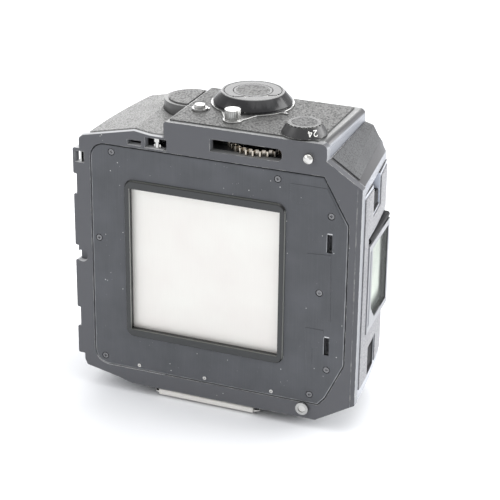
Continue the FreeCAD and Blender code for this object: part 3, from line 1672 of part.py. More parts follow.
def bearing(x1, y1, x2, y2):
    """The direction from one axis to another, in degrees."""
    return math.degrees(math.atan2((y2 - y1).value, (x2 - x1).value))


def spool_gear_phase():
    """The angle at which the spool gear meshes with the transport gear."""
    to_knob = bearing(s.gear_x, gear_y, s.knob_x, knob_y)
    to_spool = bearing(s.gear_x, gear_y, s.spool_x, spool_y)
    behind = (to_spool - to_knob) % (360 / TRANSPORT_TEETH)
    return to_spool + 180 + behind * TRANSPORT_TEETH / SPOOL_TEETH + 180 / SPOOL_TEETH


def make_gear_train():
    """Knob pinion, transport gear and spool gear, meshed in line."""
    to_knob = bearing(s.gear_x, gear_y, s.knob_x, knob_y)
    knob_phase = to_knob + 180 + 180 / KNOB_TEETH
    shaft_radius = s.knob_shaft_radius
    knob_shaft_top = knob_low + s.knob_foot + s.ring_thick
    pinion = make_gear("knob_pinion", KNOB_TEETH, s.knob_x, knob_y, knob_phase, None,
                       (shaft_radius, s.gear_floor - s.wall, knob_shaft_top))
    transport = make_gear("transport_gear", TRANSPORT_TEETH, s.gear_x, gear_y, to_knob,
                          s.gear_axle_radius + s.slip)
    drive = make_gear("spool_drive", SPOOL_TEETH, s.spool_x, spool_y, spool_gear_phase(), None,
                      (shaft_radius, spool_high + s.slip, s.gear_low))
    blade = s.drive_blade
    key = rectangle(-blade / 2, -shaft_radius + s.slip, blade / 2, shaft_radius - s.slip)
    add(drive, "drive_key", "Z", [key], spool_high - s.spool_pin_deep / 2, spool_high + s.slip)
    return [pinion, transport, drive]


def make_transport_axle():
    """The fixed axle of the transport gear, with a shoulder and a head."""
    radius = s.gear_axle_radius
    post = cylinder("axle_post", s.gear_x, gear_y, s.chamber_top, radius,
                    s.gear_low + s.gear_tall + s.slip - s.chamber_top)
    shoulder = cylinder("axle_shoulder", s.gear_x, gear_y, s.gear_floor,
                        s.gear_axle_head_radius,
                        s.gear_low - s.slip - s.gear_floor)
    head = cylinder("axle_head", s.gear_x, gear_y, s.gear_low + s.gear_tall + s.slip,
                    s.gear_axle_head_radius, s.slide_thick)
    return fuse("transport_axle", [post, shoulder, head])


def make_counter():
    """The frame counter's disc on its own axle."""
    radius = s.counter_axle_radius
    disc = cylinder("counter_blank", s.counter_x, counter_y, s.counter_low,
                    s.counter_radius, s.counter_tall)
    bore = cylinder("counter_bore", s.counter_x, counter_y, s.counter_low,
                    radius + s.slip, s.counter_tall)
    roof = s.raised_top
    spindle = cylinder("counter_spindle", s.counter_x, counter_y, s.gear_floor,
                       radius, roof - s.gear_floor)
    post = cylinder("counter_post", s.counter_x, counter_y, s.gear_floor,
                    s.counter_post_radius, s.counter_low - s.slip - s.gear_floor)
    return [cut("counter_disc", disc, [bore]), fuse("counter_axle", [spindle, post])]


# Film insert

def make_gate_frame():
    """The frame behind the darkslide that bounds the picture."""
    body = new_body("film_gate")
    outer = rectangle(-s.chamber_left + s.air, s.chamber_low + s.air,
                      s.chamber_right - s.air, s.chamber_top - s.air)
    add(body, "gate_plate", "Y", [outer], flange_back, flange_back + s.gate_frame_thick)
    half = s.film_frame / 2
    hole = rectangle(-s.gate_x - half, s.gate_z - half, -s.gate_x + half, s.gate_z + half)
    take(body, "picture_opening", "Y", [hole], flange_back, flange_back + s.gate_frame_thick)
    return body


def roller_spots():
    """The two film rollers' places."""
    y = front + s.roller_y
    return [("left", gate_left - s.roller_out, y), ("right", gate_right + s.roller_out, y)]


def make_insert_frame():
    """The film insert: two end plates joined by a bridge."""
    y0 = front + s.insert_front
    y1 = shell_back - s.insert_in
    low_plate = box("insert_low_plate", (insert_left, y0, insert_low),
                    (insert_right, y1, insert_low + s.insert_plate))
    high_plate = box("insert_high_plate", (insert_left, y0, insert_high - s.insert_plate),
                     (insert_right, y1, insert_high))
    bridge_half = s.guide_spread / 2 + s.guide_radius * 4
    bridge = box("insert_bridge", (-s.gate_x - bridge_half, front + s.bridge_y, insert_low),
                 (-s.gate_x + bridge_half, front + s.bridge_y + s.bridge_thick, insert_high))
    feet = box("insert_feet", (insert_left, y0, s.chamber_low),
               (insert_right, y0 + s.bridge_thick, insert_low))
    blank = fuse("insert_blank", [low_plate, high_plate, bridge, feet])
    tools = []
    for name, x, y in roller_spots():
        tools.append(cylinder(f"journal_hole_{name}", x, y, insert_low,
                              s.guide_radius + s.slip, insert_high - insert_low))
    for name, x, y in (("take_up", s.spool_x, spool_y), ("supply", s.supply_x, supply_y)):
        tools.append(cylinder(f"pin_hole_low_{name}", x, y, insert_low,
                              s.spool_pin_radius, s.insert_plate))
    top_plate = insert_high - s.insert_plate
    tools.append(cylinder("drive_hole", s.spool_x, spool_y, top_plate,
                          s.knob_shaft_radius + s.slip, s.insert_plate))
    tools.append(cylinder("supply_top_hole", s.supply_x, supply_y, top_plate,
                          s.spool_pin_radius, s.insert_plate))
    for x, z in guide_spots():
        tools.append(cylinder(f"guide_hole_{len(tools)}", x, front + s.bridge_y, z,
                              s.guide_radius + s.slip, s.bridge_thick, "Y"))
    return cut("insert_frame", blank, tools)


def guide_spots():
    """Where the pressure plate's guide pins run through the bridge."""
    half = s.guide_spread / 2
    return [(-s.gate_x + side * half, s.gate_z + end * half)
            for side in (-1, 1) for end in (-1, 1)]


def make_rollers():
    """The two rollers that turn the film round the ends of the gate."""
    rollers = []
    low = insert_low + s.insert_plate + s.slip
    high = insert_high - s.insert_plate - s.slip
    for name, x, y in roller_spots():
        barrel = cylinder(f"roller_barrel_{name}", x, y, low, s.roller_radius, high - low)
        journal = cylinder(f"roller_journal_{name}", x, y, insert_low,
                           s.guide_radius, insert_high - insert_low)
        rollers.append(fuse(f"{name}_roller", [barrel, journal]))
    return rollers


def make_pressure_plate():
    """The sprung plate that holds the film flat, with its guide pins and leaf spring."""
    y0 = front + s.pressure_front
    y1 = y0 + s.pressure_thick
    x0 = -s.gate_x - s.pressure_wide / 2
    x1 = -s.gate_x + s.pressure_wide / 2
    z0 = s.gate_z - s.pressure_tall / 2
    z1 = s.gate_z + s.pressure_tall / 2
    solids = [box("pressure_face", (x0, y0, z0), (x1, y1, z1))]
    reach = front + s.bridge_y + s.bridge_thick + s.wall - y1
    for x, z in guide_spots():
        solids.append(cylinder(f"guide_pin_{len(solids)}", x, y1, z, s.guide_radius, reach, "Y"))
    plate = fuse("pressure_plate", solids)
    half = s.spring_long / 2
    crown = front + s.bridge_y - s.air - s.pressure_travel
    root_half = s.spring_width / 2
    body = new_body("pressure_spring")
    x = -s.gate_x
    leaf = [
        (x - half, crown - s.spring_thick),
        (x - root_half, y1),
        (x + root_half, y1),
        (x + half, crown - s.spring_thick),
        (x + half, crown),
        (x + root_half, y1 + s.spring_thick),
        (x - root_half, y1 + s.spring_thick),
        (x - half, crown),
    ]
    add(body, "leaf", "Z", [leaf], s.gate_z - s.spring_width / 2, s.gate_z + s.spring_width / 2)
    return [plate, body]


def make_spool(name, x, y, driven):
    """A film spool with two flanges. A driven one has a slot for the drive key."""
    core = cylinder(f"{name}_core", x, y, spool_low, s.spool_core, s.spool_long)
    low_flange = cylinder(f"{name}_low_flange", x, y, spool_low, s.spool_radius, s.spool_flange)
    high_flange = cylinder(f"{name}_high_flange", x, y, spool_high - s.spool_flange,
                           s.spool_radius, s.spool_flange)
    blank = fuse(f"{name}_blank", [core, low_flange, high_flange])
    tools = [cylinder(f"{name}_low_bore", x, y, spool_low, s.spool_pin_radius + s.slip,
                      s.spool_pin_deep + s.slip)]
    if driven:
        reach = s.knob_shaft_radius
        slot = s.drive_blade / 2 + s.slip
        deep = s.spool_pin_deep / 2 + s.slip
        cutter = group(f"{name}_slot", [
            box(f"{name}_slot_box", (-slot, -reach, 0), (slot, reach, deep))])
        tools.append(place(cutter, x, y, spool_high - deep, (0, 0, 1), spool_gear_phase()))
    else:
        tools.append(cylinder(f"{name}_high_bore", x, y, spool_high - s.spool_pin_deep - s.slip,
                              s.spool_pin_radius + s.slip, s.spool_pin_deep + s.slip))
    return cut(name, blank, tools)


def make_film_roll():
    """The unexposed roll on the supply spool."""
    low = spool_low + s.spool_flange
    tall = s.spool_long - 2 * s.spool_flange
    outer = cylinder("film_outer", s.supply_x, supply_y, low, s.film_radius, tall)
    inner = cylinder("film_inner", s.supply_x, supply_y, low, s.spool_core, tall)
    return cut("film_roll", outer, [inner])


def make_spool_pins():
    """The fixed pins that the spools turn on."""
    deep = s.spool_play + s.insert_plate + s.spool_pin_deep
    pins = [
        cylinder("take_up_pin", s.spool_x, spool_y, insert_low, s.spool_pin_radius, deep),
        cylinder("supply_low_pin", s.supply_x, supply_y, insert_low, s.spool_pin_radius, deep),
        cylinder("supply_high_pin", s.supply_x, supply_y, insert_high - deep,
                 s.spool_pin_radius, deep),
    ]
    return group("spool_pins", pins)


def make_coupling_pin():
    """The small silver pin in the upper left window, on its slide."""
    x = (s.pin_slot_left + s.pin_slot_right) / 2
    y = front + s.flange_thick / 2
    low = s.pin_slot_z + s.slip
    high = s.pin_slot_z + s.pin_slot_tall - s.slip
    stem = cylinder("coupling_stem", x, y, low, s.coupling_stem_radius, high - low)
    head = cylinder("coupling_head", x, y, high - s.coupling_pin_radius, s.coupling_pin_radius,
                    s.coupling_pin_radius)
    slider = box("coupling_slider", (x - s.coupling_pin_radius, y, low),
                 (x + s.coupling_pin_radius, flange_back + s.pin_pocket_deep - s.air,
                  low + s.coupling_pin_radius))
    return fuse("coupling_pin", [stem, head, slider])


# Rear door

def make_rear_door():
    """The rear door, a shallow tray on hinge knuckles."""
    body = new_body("rear_door")
    y0 = shell_back + s.door_gap
    y1 = rear - s.leather_thick
    outline = rounded_rectangle(-s.door_left, s.door_low, s.door_right, s.door_top, s.door_round)
    add(body, "tray", "Y", [outline], y0, y1)
    inner = rectangle(-s.door_left + s.door_wall, s.door_low + s.door_wall,
                      s.door_right - s.door_wall, s.door_top - s.door_wall)
    take(body, "tray_hollow", "Y", [inner], y0, y1 - s.door_wall)
    edge_z = (s.door_low, s.door_top)
    edge_x = (-s.door_left, s.door_right)
    round_edges(body, "tray_edge", s.door_edge_round,
                lambda edge: near(edge.CenterOfMass.y, y1)
                and (any(near(edge.CenterOfMass.z, z) for z in edge_z)
                     or any(near(edge.CenterOfMass.x, x) for x in edge_x)))
    for number, (low, high) in enumerate(knuckle_spans(1), 1):
        leaf = rectangle(-s.hinge_x, hinge_y - s.door_wall / 2,
                         -s.door_left + s.door_wall / 2, hinge_y + s.door_wall / 2)
        add(body, f"door_leaf_{number}", "Z", [leaf], low, high)
        add(body, f"door_knuckle_{number}", "Z", [(-s.hinge_x, hinge_y, s.hinge_radius)], low, high)
        bore = (-s.hinge_x, hinge_y, s.hinge_pin_radius + s.slip)
        take(body, f"door_bore_{number}", "Z", [bore], low, high)
    return body


def make_door_leather():
    """Leatherette on the rear door."""
    body = new_body("door_leather")
    inset = s.door_edge_round + s.side_border / 2
    outline = rounded_rectangle(-s.door_left + inset, s.door_low + inset,
                                s.door_right - inset, s.door_top - inset, s.door_round - inset / 2)
    add(body, "door_hide", "Y", [outline], rear - s.leather_thick, rear)
    return body


def make_all():
    """Builds every piece."""
    pieces = [
        make_front_frame(), make_front_plate(), make_plate_screws(), make_contact_pins(),
        make_upper_pin(), make_darkslide(), make_slide_pull(), make_light_trap(),
        make_tab_spring(), make_body_shell(), make_hinge_pin(), make_bottom_cover(),
        make_raised_cover(), make_counter_window(), make_shoulder_cover(),
        make_shoulder_leather(), make_side_cover(), make_side_leather(),
        make_left_leather(), make_raised_leather(), make_lever_plate(), make_lever_stud(),
        make_transport_axle(), make_gate_frame(), make_insert_frame(), make_film_roll(),
        make_spool_pins(), make_coupling_pin(), make_rear_door(), make_door_leather(),
        make_spool("supply_spool", s.supply_x, supply_y, False),
        make_spool("take_up_spool", s.spool_x, spool_y, True),
        make_latch("lower_latch", s.lower_tab_low, s.lower_tab_tall),
        make_latch("upper_latch", s.upper_tab_low, s.upper_tab_tall),
    ]
    for several in (make_lower_pin, make_window, make_round_housing, make_winding_knob,
                    make_winding_key, make_selector, make_release_button, make_gear_train,
                    make_counter, make_rollers, make_pressure_plate):
        pieces += several()
    return pieces


def check_document():
    """Stops the build where any object failed."""
    for item in doc.Objects:
        if "Invalid" in item.State or "Error" in item.State:
            raise RuntimeError(f"{item.Name} failed")


def write_parts(pieces):
    """Writes each piece to its own STEP file, named by its label."""
    os.makedirs("parts", exist_ok=True)
    for piece in pieces:
        if piece.Shape.isNull() or not piece.Shape.isValid():
            raise RuntimeError(f"{piece.Label} has no valid shape")
        piece.Shape.exportStep(f"parts/{piece.Label}.step")
        print(piece.Label, len(piece.Shape.Solids), round(piece.Shape.Volume, 1))


parts = make_all()
doc.recompute()
check_document()
write_parts(parts)
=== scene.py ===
"""Looks of a roll-film magazine that stands on its darkslide side, seen from its camera side."""
import json
import math

import bpy
from mathutils import Matrix, Vector


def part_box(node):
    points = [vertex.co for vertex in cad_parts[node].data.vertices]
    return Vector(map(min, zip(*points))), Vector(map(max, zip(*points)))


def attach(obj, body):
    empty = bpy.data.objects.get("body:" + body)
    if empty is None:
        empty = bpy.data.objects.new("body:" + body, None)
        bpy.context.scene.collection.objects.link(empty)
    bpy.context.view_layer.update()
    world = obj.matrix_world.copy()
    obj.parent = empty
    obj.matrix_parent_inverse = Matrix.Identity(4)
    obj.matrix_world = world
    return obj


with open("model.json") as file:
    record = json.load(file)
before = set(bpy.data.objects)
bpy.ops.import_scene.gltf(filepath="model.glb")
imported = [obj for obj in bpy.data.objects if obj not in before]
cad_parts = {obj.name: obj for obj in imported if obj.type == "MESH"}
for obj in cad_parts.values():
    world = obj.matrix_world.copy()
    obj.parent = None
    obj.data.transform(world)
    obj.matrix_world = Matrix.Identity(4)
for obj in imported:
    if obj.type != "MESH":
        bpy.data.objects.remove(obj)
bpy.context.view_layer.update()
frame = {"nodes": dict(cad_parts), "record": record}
NODES = frame["nodes"]
MM = 0.001


# Small helpers

def linear(*values):
    """Screen values from 0 to 255 as a linear colour."""
    shares = [value / 255 for value in values]
    bent = [x / 12.92 if x <= 0.04045 else ((x + 0.055) / 1.055) ** 2.4 for x in shares]
    if len(bent) == 1:
        bent = bent * 3
    return (*bent, 1.0)


def shaded(colour, factor):
    """A linear colour made darker or paler by a factor."""
    return (*(factor * share for share in colour[:3]), 1.0)


class Finish:
    """One procedural material and the nodes that it is built from."""

    def __init__(self, name, colour, roughness, metallic=0.0, shine=0.5):
        self.material = bpy.data.materials.new(name)
        self.material.use_nodes = True
        self.tree = self.material.node_tree
        self.shader = self.tree.nodes["Principled BSDF"]
        self.shader.inputs["Base Color"].default_value = colour
        self.shader.inputs["Roughness"].default_value = roughness
        self.shader.inputs["Metallic"].default_value = metallic
        self.shader.inputs["Specular IOR Level"].default_value = shine
        self.place = self.node("ShaderNodeTexCoord").outputs["Object"]
        self.relief = None

    def node(self, kind, **settings):
        """A new node with settings as attributes."""
        made = self.tree.nodes.new(kind)
        for key, value in settings.items():
            setattr(made, key, value)
        return made

    def join(self, output, entry):
        """Links an output to an input, or sets the input where a plain value is given."""
        if hasattr(output, "is_output"):
            self.tree.links.new(output, entry)
        else:
            entry.default_value = output

    def stretched(self, x, y, z):
        """The place in the piece with each direction scaled."""
        mapping = self.node("ShaderNodeMapping")
        self.join(self.place, mapping.inputs["Vector"])
        mapping.inputs["Scale"].default_value = (x, y, z)
        return mapping.outputs["Vector"]

    def rippled(self, size, reach):
        """The place in the piece pushed about by noise of a size and reach in millimetres."""
        wavy = self.node("ShaderNodeTexNoise")
        self.join(self.place, wavy.inputs["Vector"])
        wavy.inputs["Scale"].default_value = 1 / (size * MM)
        bent = self.node("ShaderNodeVectorMath", operation="MULTIPLY_ADD")
        self.join(wavy.outputs["Color"], bent.inputs[0])
        bent.inputs[1].default_value = (reach * MM, reach * MM, reach * MM)
        self.join(self.place, bent.inputs[2])
        return bent.outputs["Vector"]

    def noise(self, size, detail=3.0, place=None):
        """Soft noise whose blotches are about this size, in millimetres."""
        made = self.node("ShaderNodeTexNoise")
        self.join(place or self.place, made.inputs["Vector"])
        made.inputs["Scale"].default_value = 1 / (size * MM)
        made.inputs["Detail"].default_value = detail
        return made.outputs["Fac"]

    def cells(self, size, place=None):
        """The distance within cells of about this size, in millimetres."""
        made = self.node("ShaderNodeTexVoronoi")
        self.join(place or self.place, made.inputs["Vector"])
        made.inputs["Scale"].default_value = 1 / (size * MM)
        return made.outputs["Distance"]

    def ramp(self, value, *stops):
        """A grey or coloured ramp through (position, colour) stops."""
        made = self.node("ShaderNodeValToRGB")
        self.join(value, made.inputs["Fac"])
        points = made.color_ramp.elements
        while len(points) < len(stops):
            points.new(0.5)
        for point, (position, colour) in zip(points, stops):
            point.position = position
            point.color = (colour, colour, colour, 1) if isinstance(colour, float) else colour
        return made.outputs["Color"]

    def times(self, first, second):
        """The product of two values."""
        made = self.node("ShaderNodeMath", operation="MULTIPLY")
        self.join(first, made.inputs[0])
        self.join(second, made.inputs[1])
        return made.outputs[0]

    def mixed(self, share, low, high):
        """A colour between two, by a share."""
        made = self.node("ShaderNodeMix", data_type="RGBA")
        self.join(share, made.inputs["Factor"])
        self.join(low, made.inputs[6])
        self.join(high, made.inputs[7])
        return made.outputs[2]

    def paint(self, colour):
        """Links the base colour."""
        self.join(colour, self.shader.inputs["Base Color"])

    def gloss(self, roughness):
        """Links the roughness."""
        self.join(roughness, self.shader.inputs["Roughness"])

    def bump(self, height, depth, strength=1.0):
        """Adds relief of a depth in millimetres."""
        made = self.node("ShaderNodeBump")
        made.inputs["Strength"].default_value = strength
        made.inputs["Distance"].default_value = depth * MM
        self.join(height, made.inputs["Height"])
        if self.relief is not None:
            self.join(self.relief, made.inputs["Normal"])
        self.relief = made.outputs["Normal"]
        self.join(self.relief, self.shader.inputs["Normal"])

    def edges(self, radius):
        """A share that is 1 on outer and inner edges within a radius in millimetres."""
        bevel = self.node("ShaderNodeBevel", samples=6)
        bevel.inputs["Radius"].default_value = radius * MM
        plain = self.node("ShaderNodeNewGeometry")
        dot = self.node("ShaderNodeVectorMath", operation="DOT_PRODUCT")
        self.join(bevel.outputs["Normal"], dot.inputs[0])
        self.join(plain.outputs["Normal"], dot.inputs[1])
        return self.ramp(dot.outputs["Value"], (0.75, 1.0), (0.97, 0.0))

    def eased(self, value, low, high):
        """A share that eases from 0 to 1 as a value goes from low to high."""
        made = self.node("ShaderNodeMapRange", interpolation_type="SMOOTHSTEP")
        self.join(value, made.inputs["Value"])
        made.inputs["From Min"].default_value = low
        made.inputs["From Max"].default_value = high
        return made.outputs["Result"]

    def component(self, vector, axis):
        """One axis of a vector."""
        apart = self.node("ShaderNodeSeparateXYZ")
        self.join(vector, apart.inputs[0])
        return apart.outputs[axis]

    def along(self, axis, low, high):
        """A share that goes from 0 to 1 between two places along an axis, in millimetres."""
        return self.eased(self.component(self.place, axis), low * MM, high * MM)

    def away(self, middle, start, end):
        """A share that goes from 0 to 1 with the distance from an upright line, in millimetres."""
        aside = self.node("ShaderNodeVectorMath", operation="MULTIPLY_ADD")
        self.join(self.place, aside.inputs[0])
        aside.inputs[1].default_value = (1, 1, 0)
        aside.inputs[2].default_value = (-middle[0] * MM, -middle[1] * MM, 0)
        far = self.node("ShaderNodeVectorMath", operation="LENGTH")
        self.join(aside.outputs["Vector"], far.inputs[0])
        return self.eased(far.outputs["Value"], start * MM, end * MM)

    def facing(self, axis, low, high):
        """A share that goes from 0 to 1 as the surface turns toward an axis."""
        normal = self.node("ShaderNodeTexCoord").outputs["Normal"]
        return self.eased(self.component(normal, axis), low, high)

    def within(self, axis, low, high, soft):
        """A share that is 1 between two places along an axis, in millimetres."""
        return self.times(self.along(axis, low - soft, low),
                          self.flip(self.along(axis, high, high + soft)))

    def ring(self, middle, radius, wide):
        """A share that is 1 on a ring round an upright line, in millimetres."""
        soft = wide / 3
        inner = radius - wide / 2
        outer = radius + wide / 2
        return self.times(self.away(middle, inner - soft, inner + soft),
                          self.flip(self.away(middle, outer - soft, outer + soft)))

    def flip(self, share):
        """One less a share."""
        made = self.node("ShaderNodeMath", operation="SUBTRACT")
        made.inputs[0].default_value = 1.0
        self.join(share, made.inputs[1])
        return made.outputs[0]

    def dust(self, size, rare):
        """A share that is 1 in sparse pale specks."""
        speck = self.ramp(self.cells(size), (0.06, 1.0), (0.09, 0.0))
        patch = self.ramp(self.noise(size * 3.1, 1.0), (rare, 0.0), (rare + 0.03, 1.0))
        return self.times(speck, patch)


# Finishes

FRONT_GREY = linear(80, 81, 85)
PLATE_GREY = linear(76, 78, 82)
COVER_GREY = linear(72, 72, 74)
# Paler greys painted on faces turned to the right and up: painted light
PAINTED_RIGHT_LIGHT = linear(128, 131, 138)
PAINTED_TOP_LIGHT = linear(96, 97, 97)
SILVER = linear(196, 196, 192)

# Where single marks, painted highlights and painted shades lie on the pieces, in millimetres of
# the frame
BEAD_DEPTH = (-23.95, -23.66)
KEY_SLOT_MIDDLES = (34.4, 74.2)
KEY_SLOT_TOP_WIDE = (42.6, 44.2)
KEY_SLOT_TOP_RISE = (3.5, 3.85)
KEY_SLOT_SIDE_WIDE = (42.18, 42.32)
KEY_SLOT_SIDE_RISE = (-3.2, 3.4)
SCRIBED_LINE_WIDE = (52.8, 52.94)
SCRIBED_LINE_TALL = (12, 94)
DECK_HIGHLIGHT_END = (-20.2, -19.6)
RECESS_REAR = (-16, -12)
UPPER_RECESS_FROM = (50, 60)
WINDOW_REAR = (4, 9)
CARD_REAR_SHADE = (7.5, 11.5)
CARD_FOOT_SHADE = (41.0, 47.0)
KNOB_MIDDLE = (2.6, 6.1)

# The radius, width and colour of each ring drawn on the knob's top
KNOB_RINGS = ((7.1, 0.35, linear(8)), (10.6, 0.3, linear(12)), (11.35, 0.3, linear(150)))


def satin_paint(name, colour, roughness, speck=0.62, worn=None, side=None, top=None, extra=None):
    """Sprayed black paint with a fine grain, faint blotches, dust and pale worn edges.

    Where a colour is given for them, the faces that look to the right or up take it as painted
    light and shade; extra is a function that adds one piece's marks, some of them painted light
    and shade.
    """
    made = Finish(name, colour, roughness)
    blotch = made.ramp(made.noise(9, 4), (0.3, 0.9), (0.7, 1.1))
    base = made.mixed(blotch, shaded(colour, 0.86), shaded(colour, 1.12))
    # Painted light and shade: faces turned to the right or up take the given colours
    if side is not None:
        base = made.mixed(made.facing("X", 0.84, 0.97), base, side)
    if top is not None:
        base = made.mixed(made.facing("Z", 0.88, 0.98), base, top)
    if extra is not None:
        base = extra(made, base)
    base = made.mixed(made.dust(2.6, speck), base, linear(196, 196, 194))
    if worn is not None:
        rub = made.ramp(made.noise(2.2, 5), (0.45, 0.0), (0.62, 1.0))
        base = made.mixed(made.times(made.edges(0.35), rub), base, worn)
    made.paint(base)
    made.gloss(made.ramp(made.noise(4, 3), (0.2, roughness - 0.06), (0.8, roughness + 0.08)))
    made.bump(made.noise(0.16, 2), 0.012, 0.5)
    return made.material


def plate_paint(name):
    """Front plate paint with dust, the glossy dark bead round its gate, and painted light and
    shade.
    """
    made = Finish(name, PLATE_GREY, 0.45)
    blotch = made.ramp(made.noise(9, 4), (0.3, 0.0), (0.7, 1.0))
    base = made.mixed(blotch, linear(70, 72, 76), linear(79, 81, 86))
    drawn = made.noise(0.35, 3, made.stretched(1, 1, 0.02))
    base = made.mixed(made.ramp(drawn, (0.45, 0.0), (0.8, 0.16)), base, linear(100, 102, 107))
    base = made.mixed(made.dust(2.4, 0.57), base, linear(205, 206, 206))
    base = made.mixed(made.dust(1.1, 0.6), base, linear(165, 167, 169))
    # Painted highlight: a pale, patchy line on the bevels of the plate that do not face up
    patchy = made.ramp(made.noise(4, 3), (0.3, 0.3), (0.6, 0.85))
    painted_bevel_highlight = made.times(made.facing("Y", -0.98, -0.92), made.flip(made.facing("Z", 0.05, 0.25)))
    base = made.mixed(made.times(painted_bevel_highlight, patchy), base, linear(172, 174, 177))
    # Painted shade: faces turned well away from the front, in grooves, slots and the gate, go near
    # black
    base = made.mixed(made.facing("Y", -0.75, -0.5), base, linear(34, 35, 36))
    # The pale top and side edges of the key slots are partly wear, partly painted highlight
    for middle in KEY_SLOT_MIDDLES:
        low, high = (middle + rise for rise in KEY_SLOT_TOP_RISE)
        top_edge = made.times(made.within("X", *KEY_SLOT_TOP_WIDE, 0.2),
                              made.within("Z", low, high, 0.15))
        low, high = (middle + rise for rise in KEY_SLOT_SIDE_RISE)
        side_edge = made.times(made.within("X", *KEY_SLOT_SIDE_WIDE, 0.1),
                               made.within("Z", low, high, 0.3))
        base = made.mixed(top_edge, base, linear(188, 190, 192))
        base = made.mixed(side_edge, base, linear(140, 142, 145))
    bead = made.flip(made.along("Y", *BEAD_DEPTH))
    # Painted light and shade on the bead: near-black flanks, a pale painted reflection on faces
    # turned right, grey on faces turned up
    gloss = made.mixed(made.facing("Y", -0.97, -0.8), linear(50, 52, 53), linear(18, 18, 19))
    gloss = made.mixed(made.facing("X", 0.75, 0.95), gloss, linear(150, 152, 149))
    gloss = made.mixed(made.facing("Z", 0.75, 0.95), gloss, linear(96, 98, 94))
    base = made.mixed(bead, base, gloss)
    made.paint(base)
    made.gloss(made.ramp(bead, (0.0, 0.46), (1.0, 0.24)))
    made.bump(made.noise(0.16, 2), 0.012, 0.5)
    return made.material


def gloss_black(name, rings=()):
    """Polished black enamel with dust and rubbed rims, and with rings drawn on the knob's top."""
    made = Finish(name, linear(38, 38, 40), 0.22, shine=0.3)
    base = made.mixed(made.noise(5, 3), linear(33, 33, 35), linear(46, 46, 48))
    for radius, wide, line in rings:
        share = made.times(made.ring(KNOB_MIDDLE, radius, wide), made.facing("Z", 0.5, 0.9))
        base = made.mixed(share, base, line)
    base = made.mixed(made.dust(1.5, 0.55), base, linear(205))
    rub = made.ramp(made.noise(1.2, 4), (0.42, 0.0), (0.6, 1.0))
    base = made.mixed(made.times(made.edges(0.22), rub), base, linear(170, 170, 168))
    made.paint(base)
    made.bump(made.noise(0.5, 2), 0.004, 0.4)
    return made.material


def leatherette(name, low, high, grain=0.7, painted_edge_shading=linear(40, 40, 41), side=None):
    """Pebbled black leatherette, pale where its grain catches the light.

    Where a colour is given for it, the part turned to the right goes over to it as painted shade;
    the edges take painted shade, and painted light where their colour is pale.
    """
    made = Finish(name, high, 0.5)
    pebbles = made.cells(grain, place=made.rippled(1.0 / 0.9, 0.55))
    swell = made.ramp(pebbles, (0.0, 1.0), (0.45, 0.75), (0.8, 0.0))
    base = made.mixed(swell, low, high)
    patch = made.ramp(made.noise(14, 3), (0.35, 0.0), (0.75, 0.35))
    base = made.mixed(patch, base, shaded(high, 1.25))
    # Painted shade on the part turned to the right
    if side is not None:
        base = made.mixed(made.facing("X", 0.62, 0.78), base, side)
    # Painted shade along the edges; painted light where the edge colour is pale
    base = made.mixed(made.edges(0.4), base, painted_edge_shading)
    made.paint(base)
    made.gloss(made.ramp(swell, (0.0, 0.7), (1.0, 0.42)))
    made.bump(swell, 0.12, 0.8)
    made.bump(made.noise(0.25, 2), 0.02, 0.5)
    return made.material


def metal(name, colour, roughness, streak=0.05):
    """Bright metal with a fine grain and faint stains."""
    made = Finish(name, colour, roughness, metallic=1.0)
    brushed = made.noise(0.25, 3)
    stain = made.ramp(made.noise(3, 4), (0.35, 0.0), (0.7, 1.0))
    made.paint(made.mixed(stain, shaded(colour, 0.82), colour))
    made.gloss(made.ramp(brushed, (0.2, roughness - streak), (0.8, roughness + streak)))
    made.bump(brushed, 0.004, 0.3)
    return made.material


def sheet_steel(name):
    """The darkslide's fine matt steel, with faint upright brushing."""
    made = Finish(name, linear(228, 226, 222), 0.42, metallic=0.35)
    brushed = made.noise(0.3, 4, made.stretched(1, 1, 0.03))
    cloud = made.ramp(made.noise(22, 3),
                      (0.3, linear(229, 225, 221)), (0.7, linear(234, 233, 228)))
    streaks = made.ramp(brushed, (0.3, 0.0), (0.8, 0.16))
    made.paint(made.mixed(streaks, cloud, linear(218, 217, 213)))
    made.gloss(made.ramp(brushed, (0.2, 0.36), (0.8, 0.5)))
    made.bump(brushed, 0.003, 0.3)
    return made.material


def matt(name, colour, grain=0.3, roughness=0.7, shine=0.5):
    """Matt plastic, paper or felt with a fine grain."""
    made = Finish(name, colour, roughness, shine=shine)
    made.paint(made.mixed(made.noise(grain * 6, 4), shaded(colour, 0.88), shaded(colour, 1.15)))
    made.bump(made.noise(grain, 3), 0.03, 0.5)
    return made.material


def memo_card(name):
    """The pale card under the window, in the deep shade of the frame's rear and lower edges."""
    made = Finish(name, linear(214, 219, 212), 0.8)
    cloud = made.mixed(made.noise(3, 4), linear(206, 212, 204), linear(221, 224, 218))
    base = made.mixed(made.along("Y", *CARD_REAR_SHADE), cloud, linear(34, 36, 35))
    foot = made.flip(made.along("Z", *CARD_FOOT_SHADE))
    base = made.mixed(foot, base, linear(52, 58, 56))
    made.paint(base)
    made.bump(made.noise(0.4, 3), 0.02, 0.4)
    return made.material


def clear(name):
    """The memo window's clear plastic, lightly scratched."""
    made = Finish(name, linear(238, 241, 239), 0.12, shine=0.0)
    made.shader.inputs["Transmission Weight"].default_value = 0.95
    made.shader.inputs["IOR"].default_value = 1.01
    scratch = made.noise(0.3, 4, made.stretched(1, 0.06, 1))
    made.gloss(made.ramp(scratch, (0.3, 0.05), (0.8, 0.22)))
    made.bump(scratch, 0.004, 0.3)
    return made.material


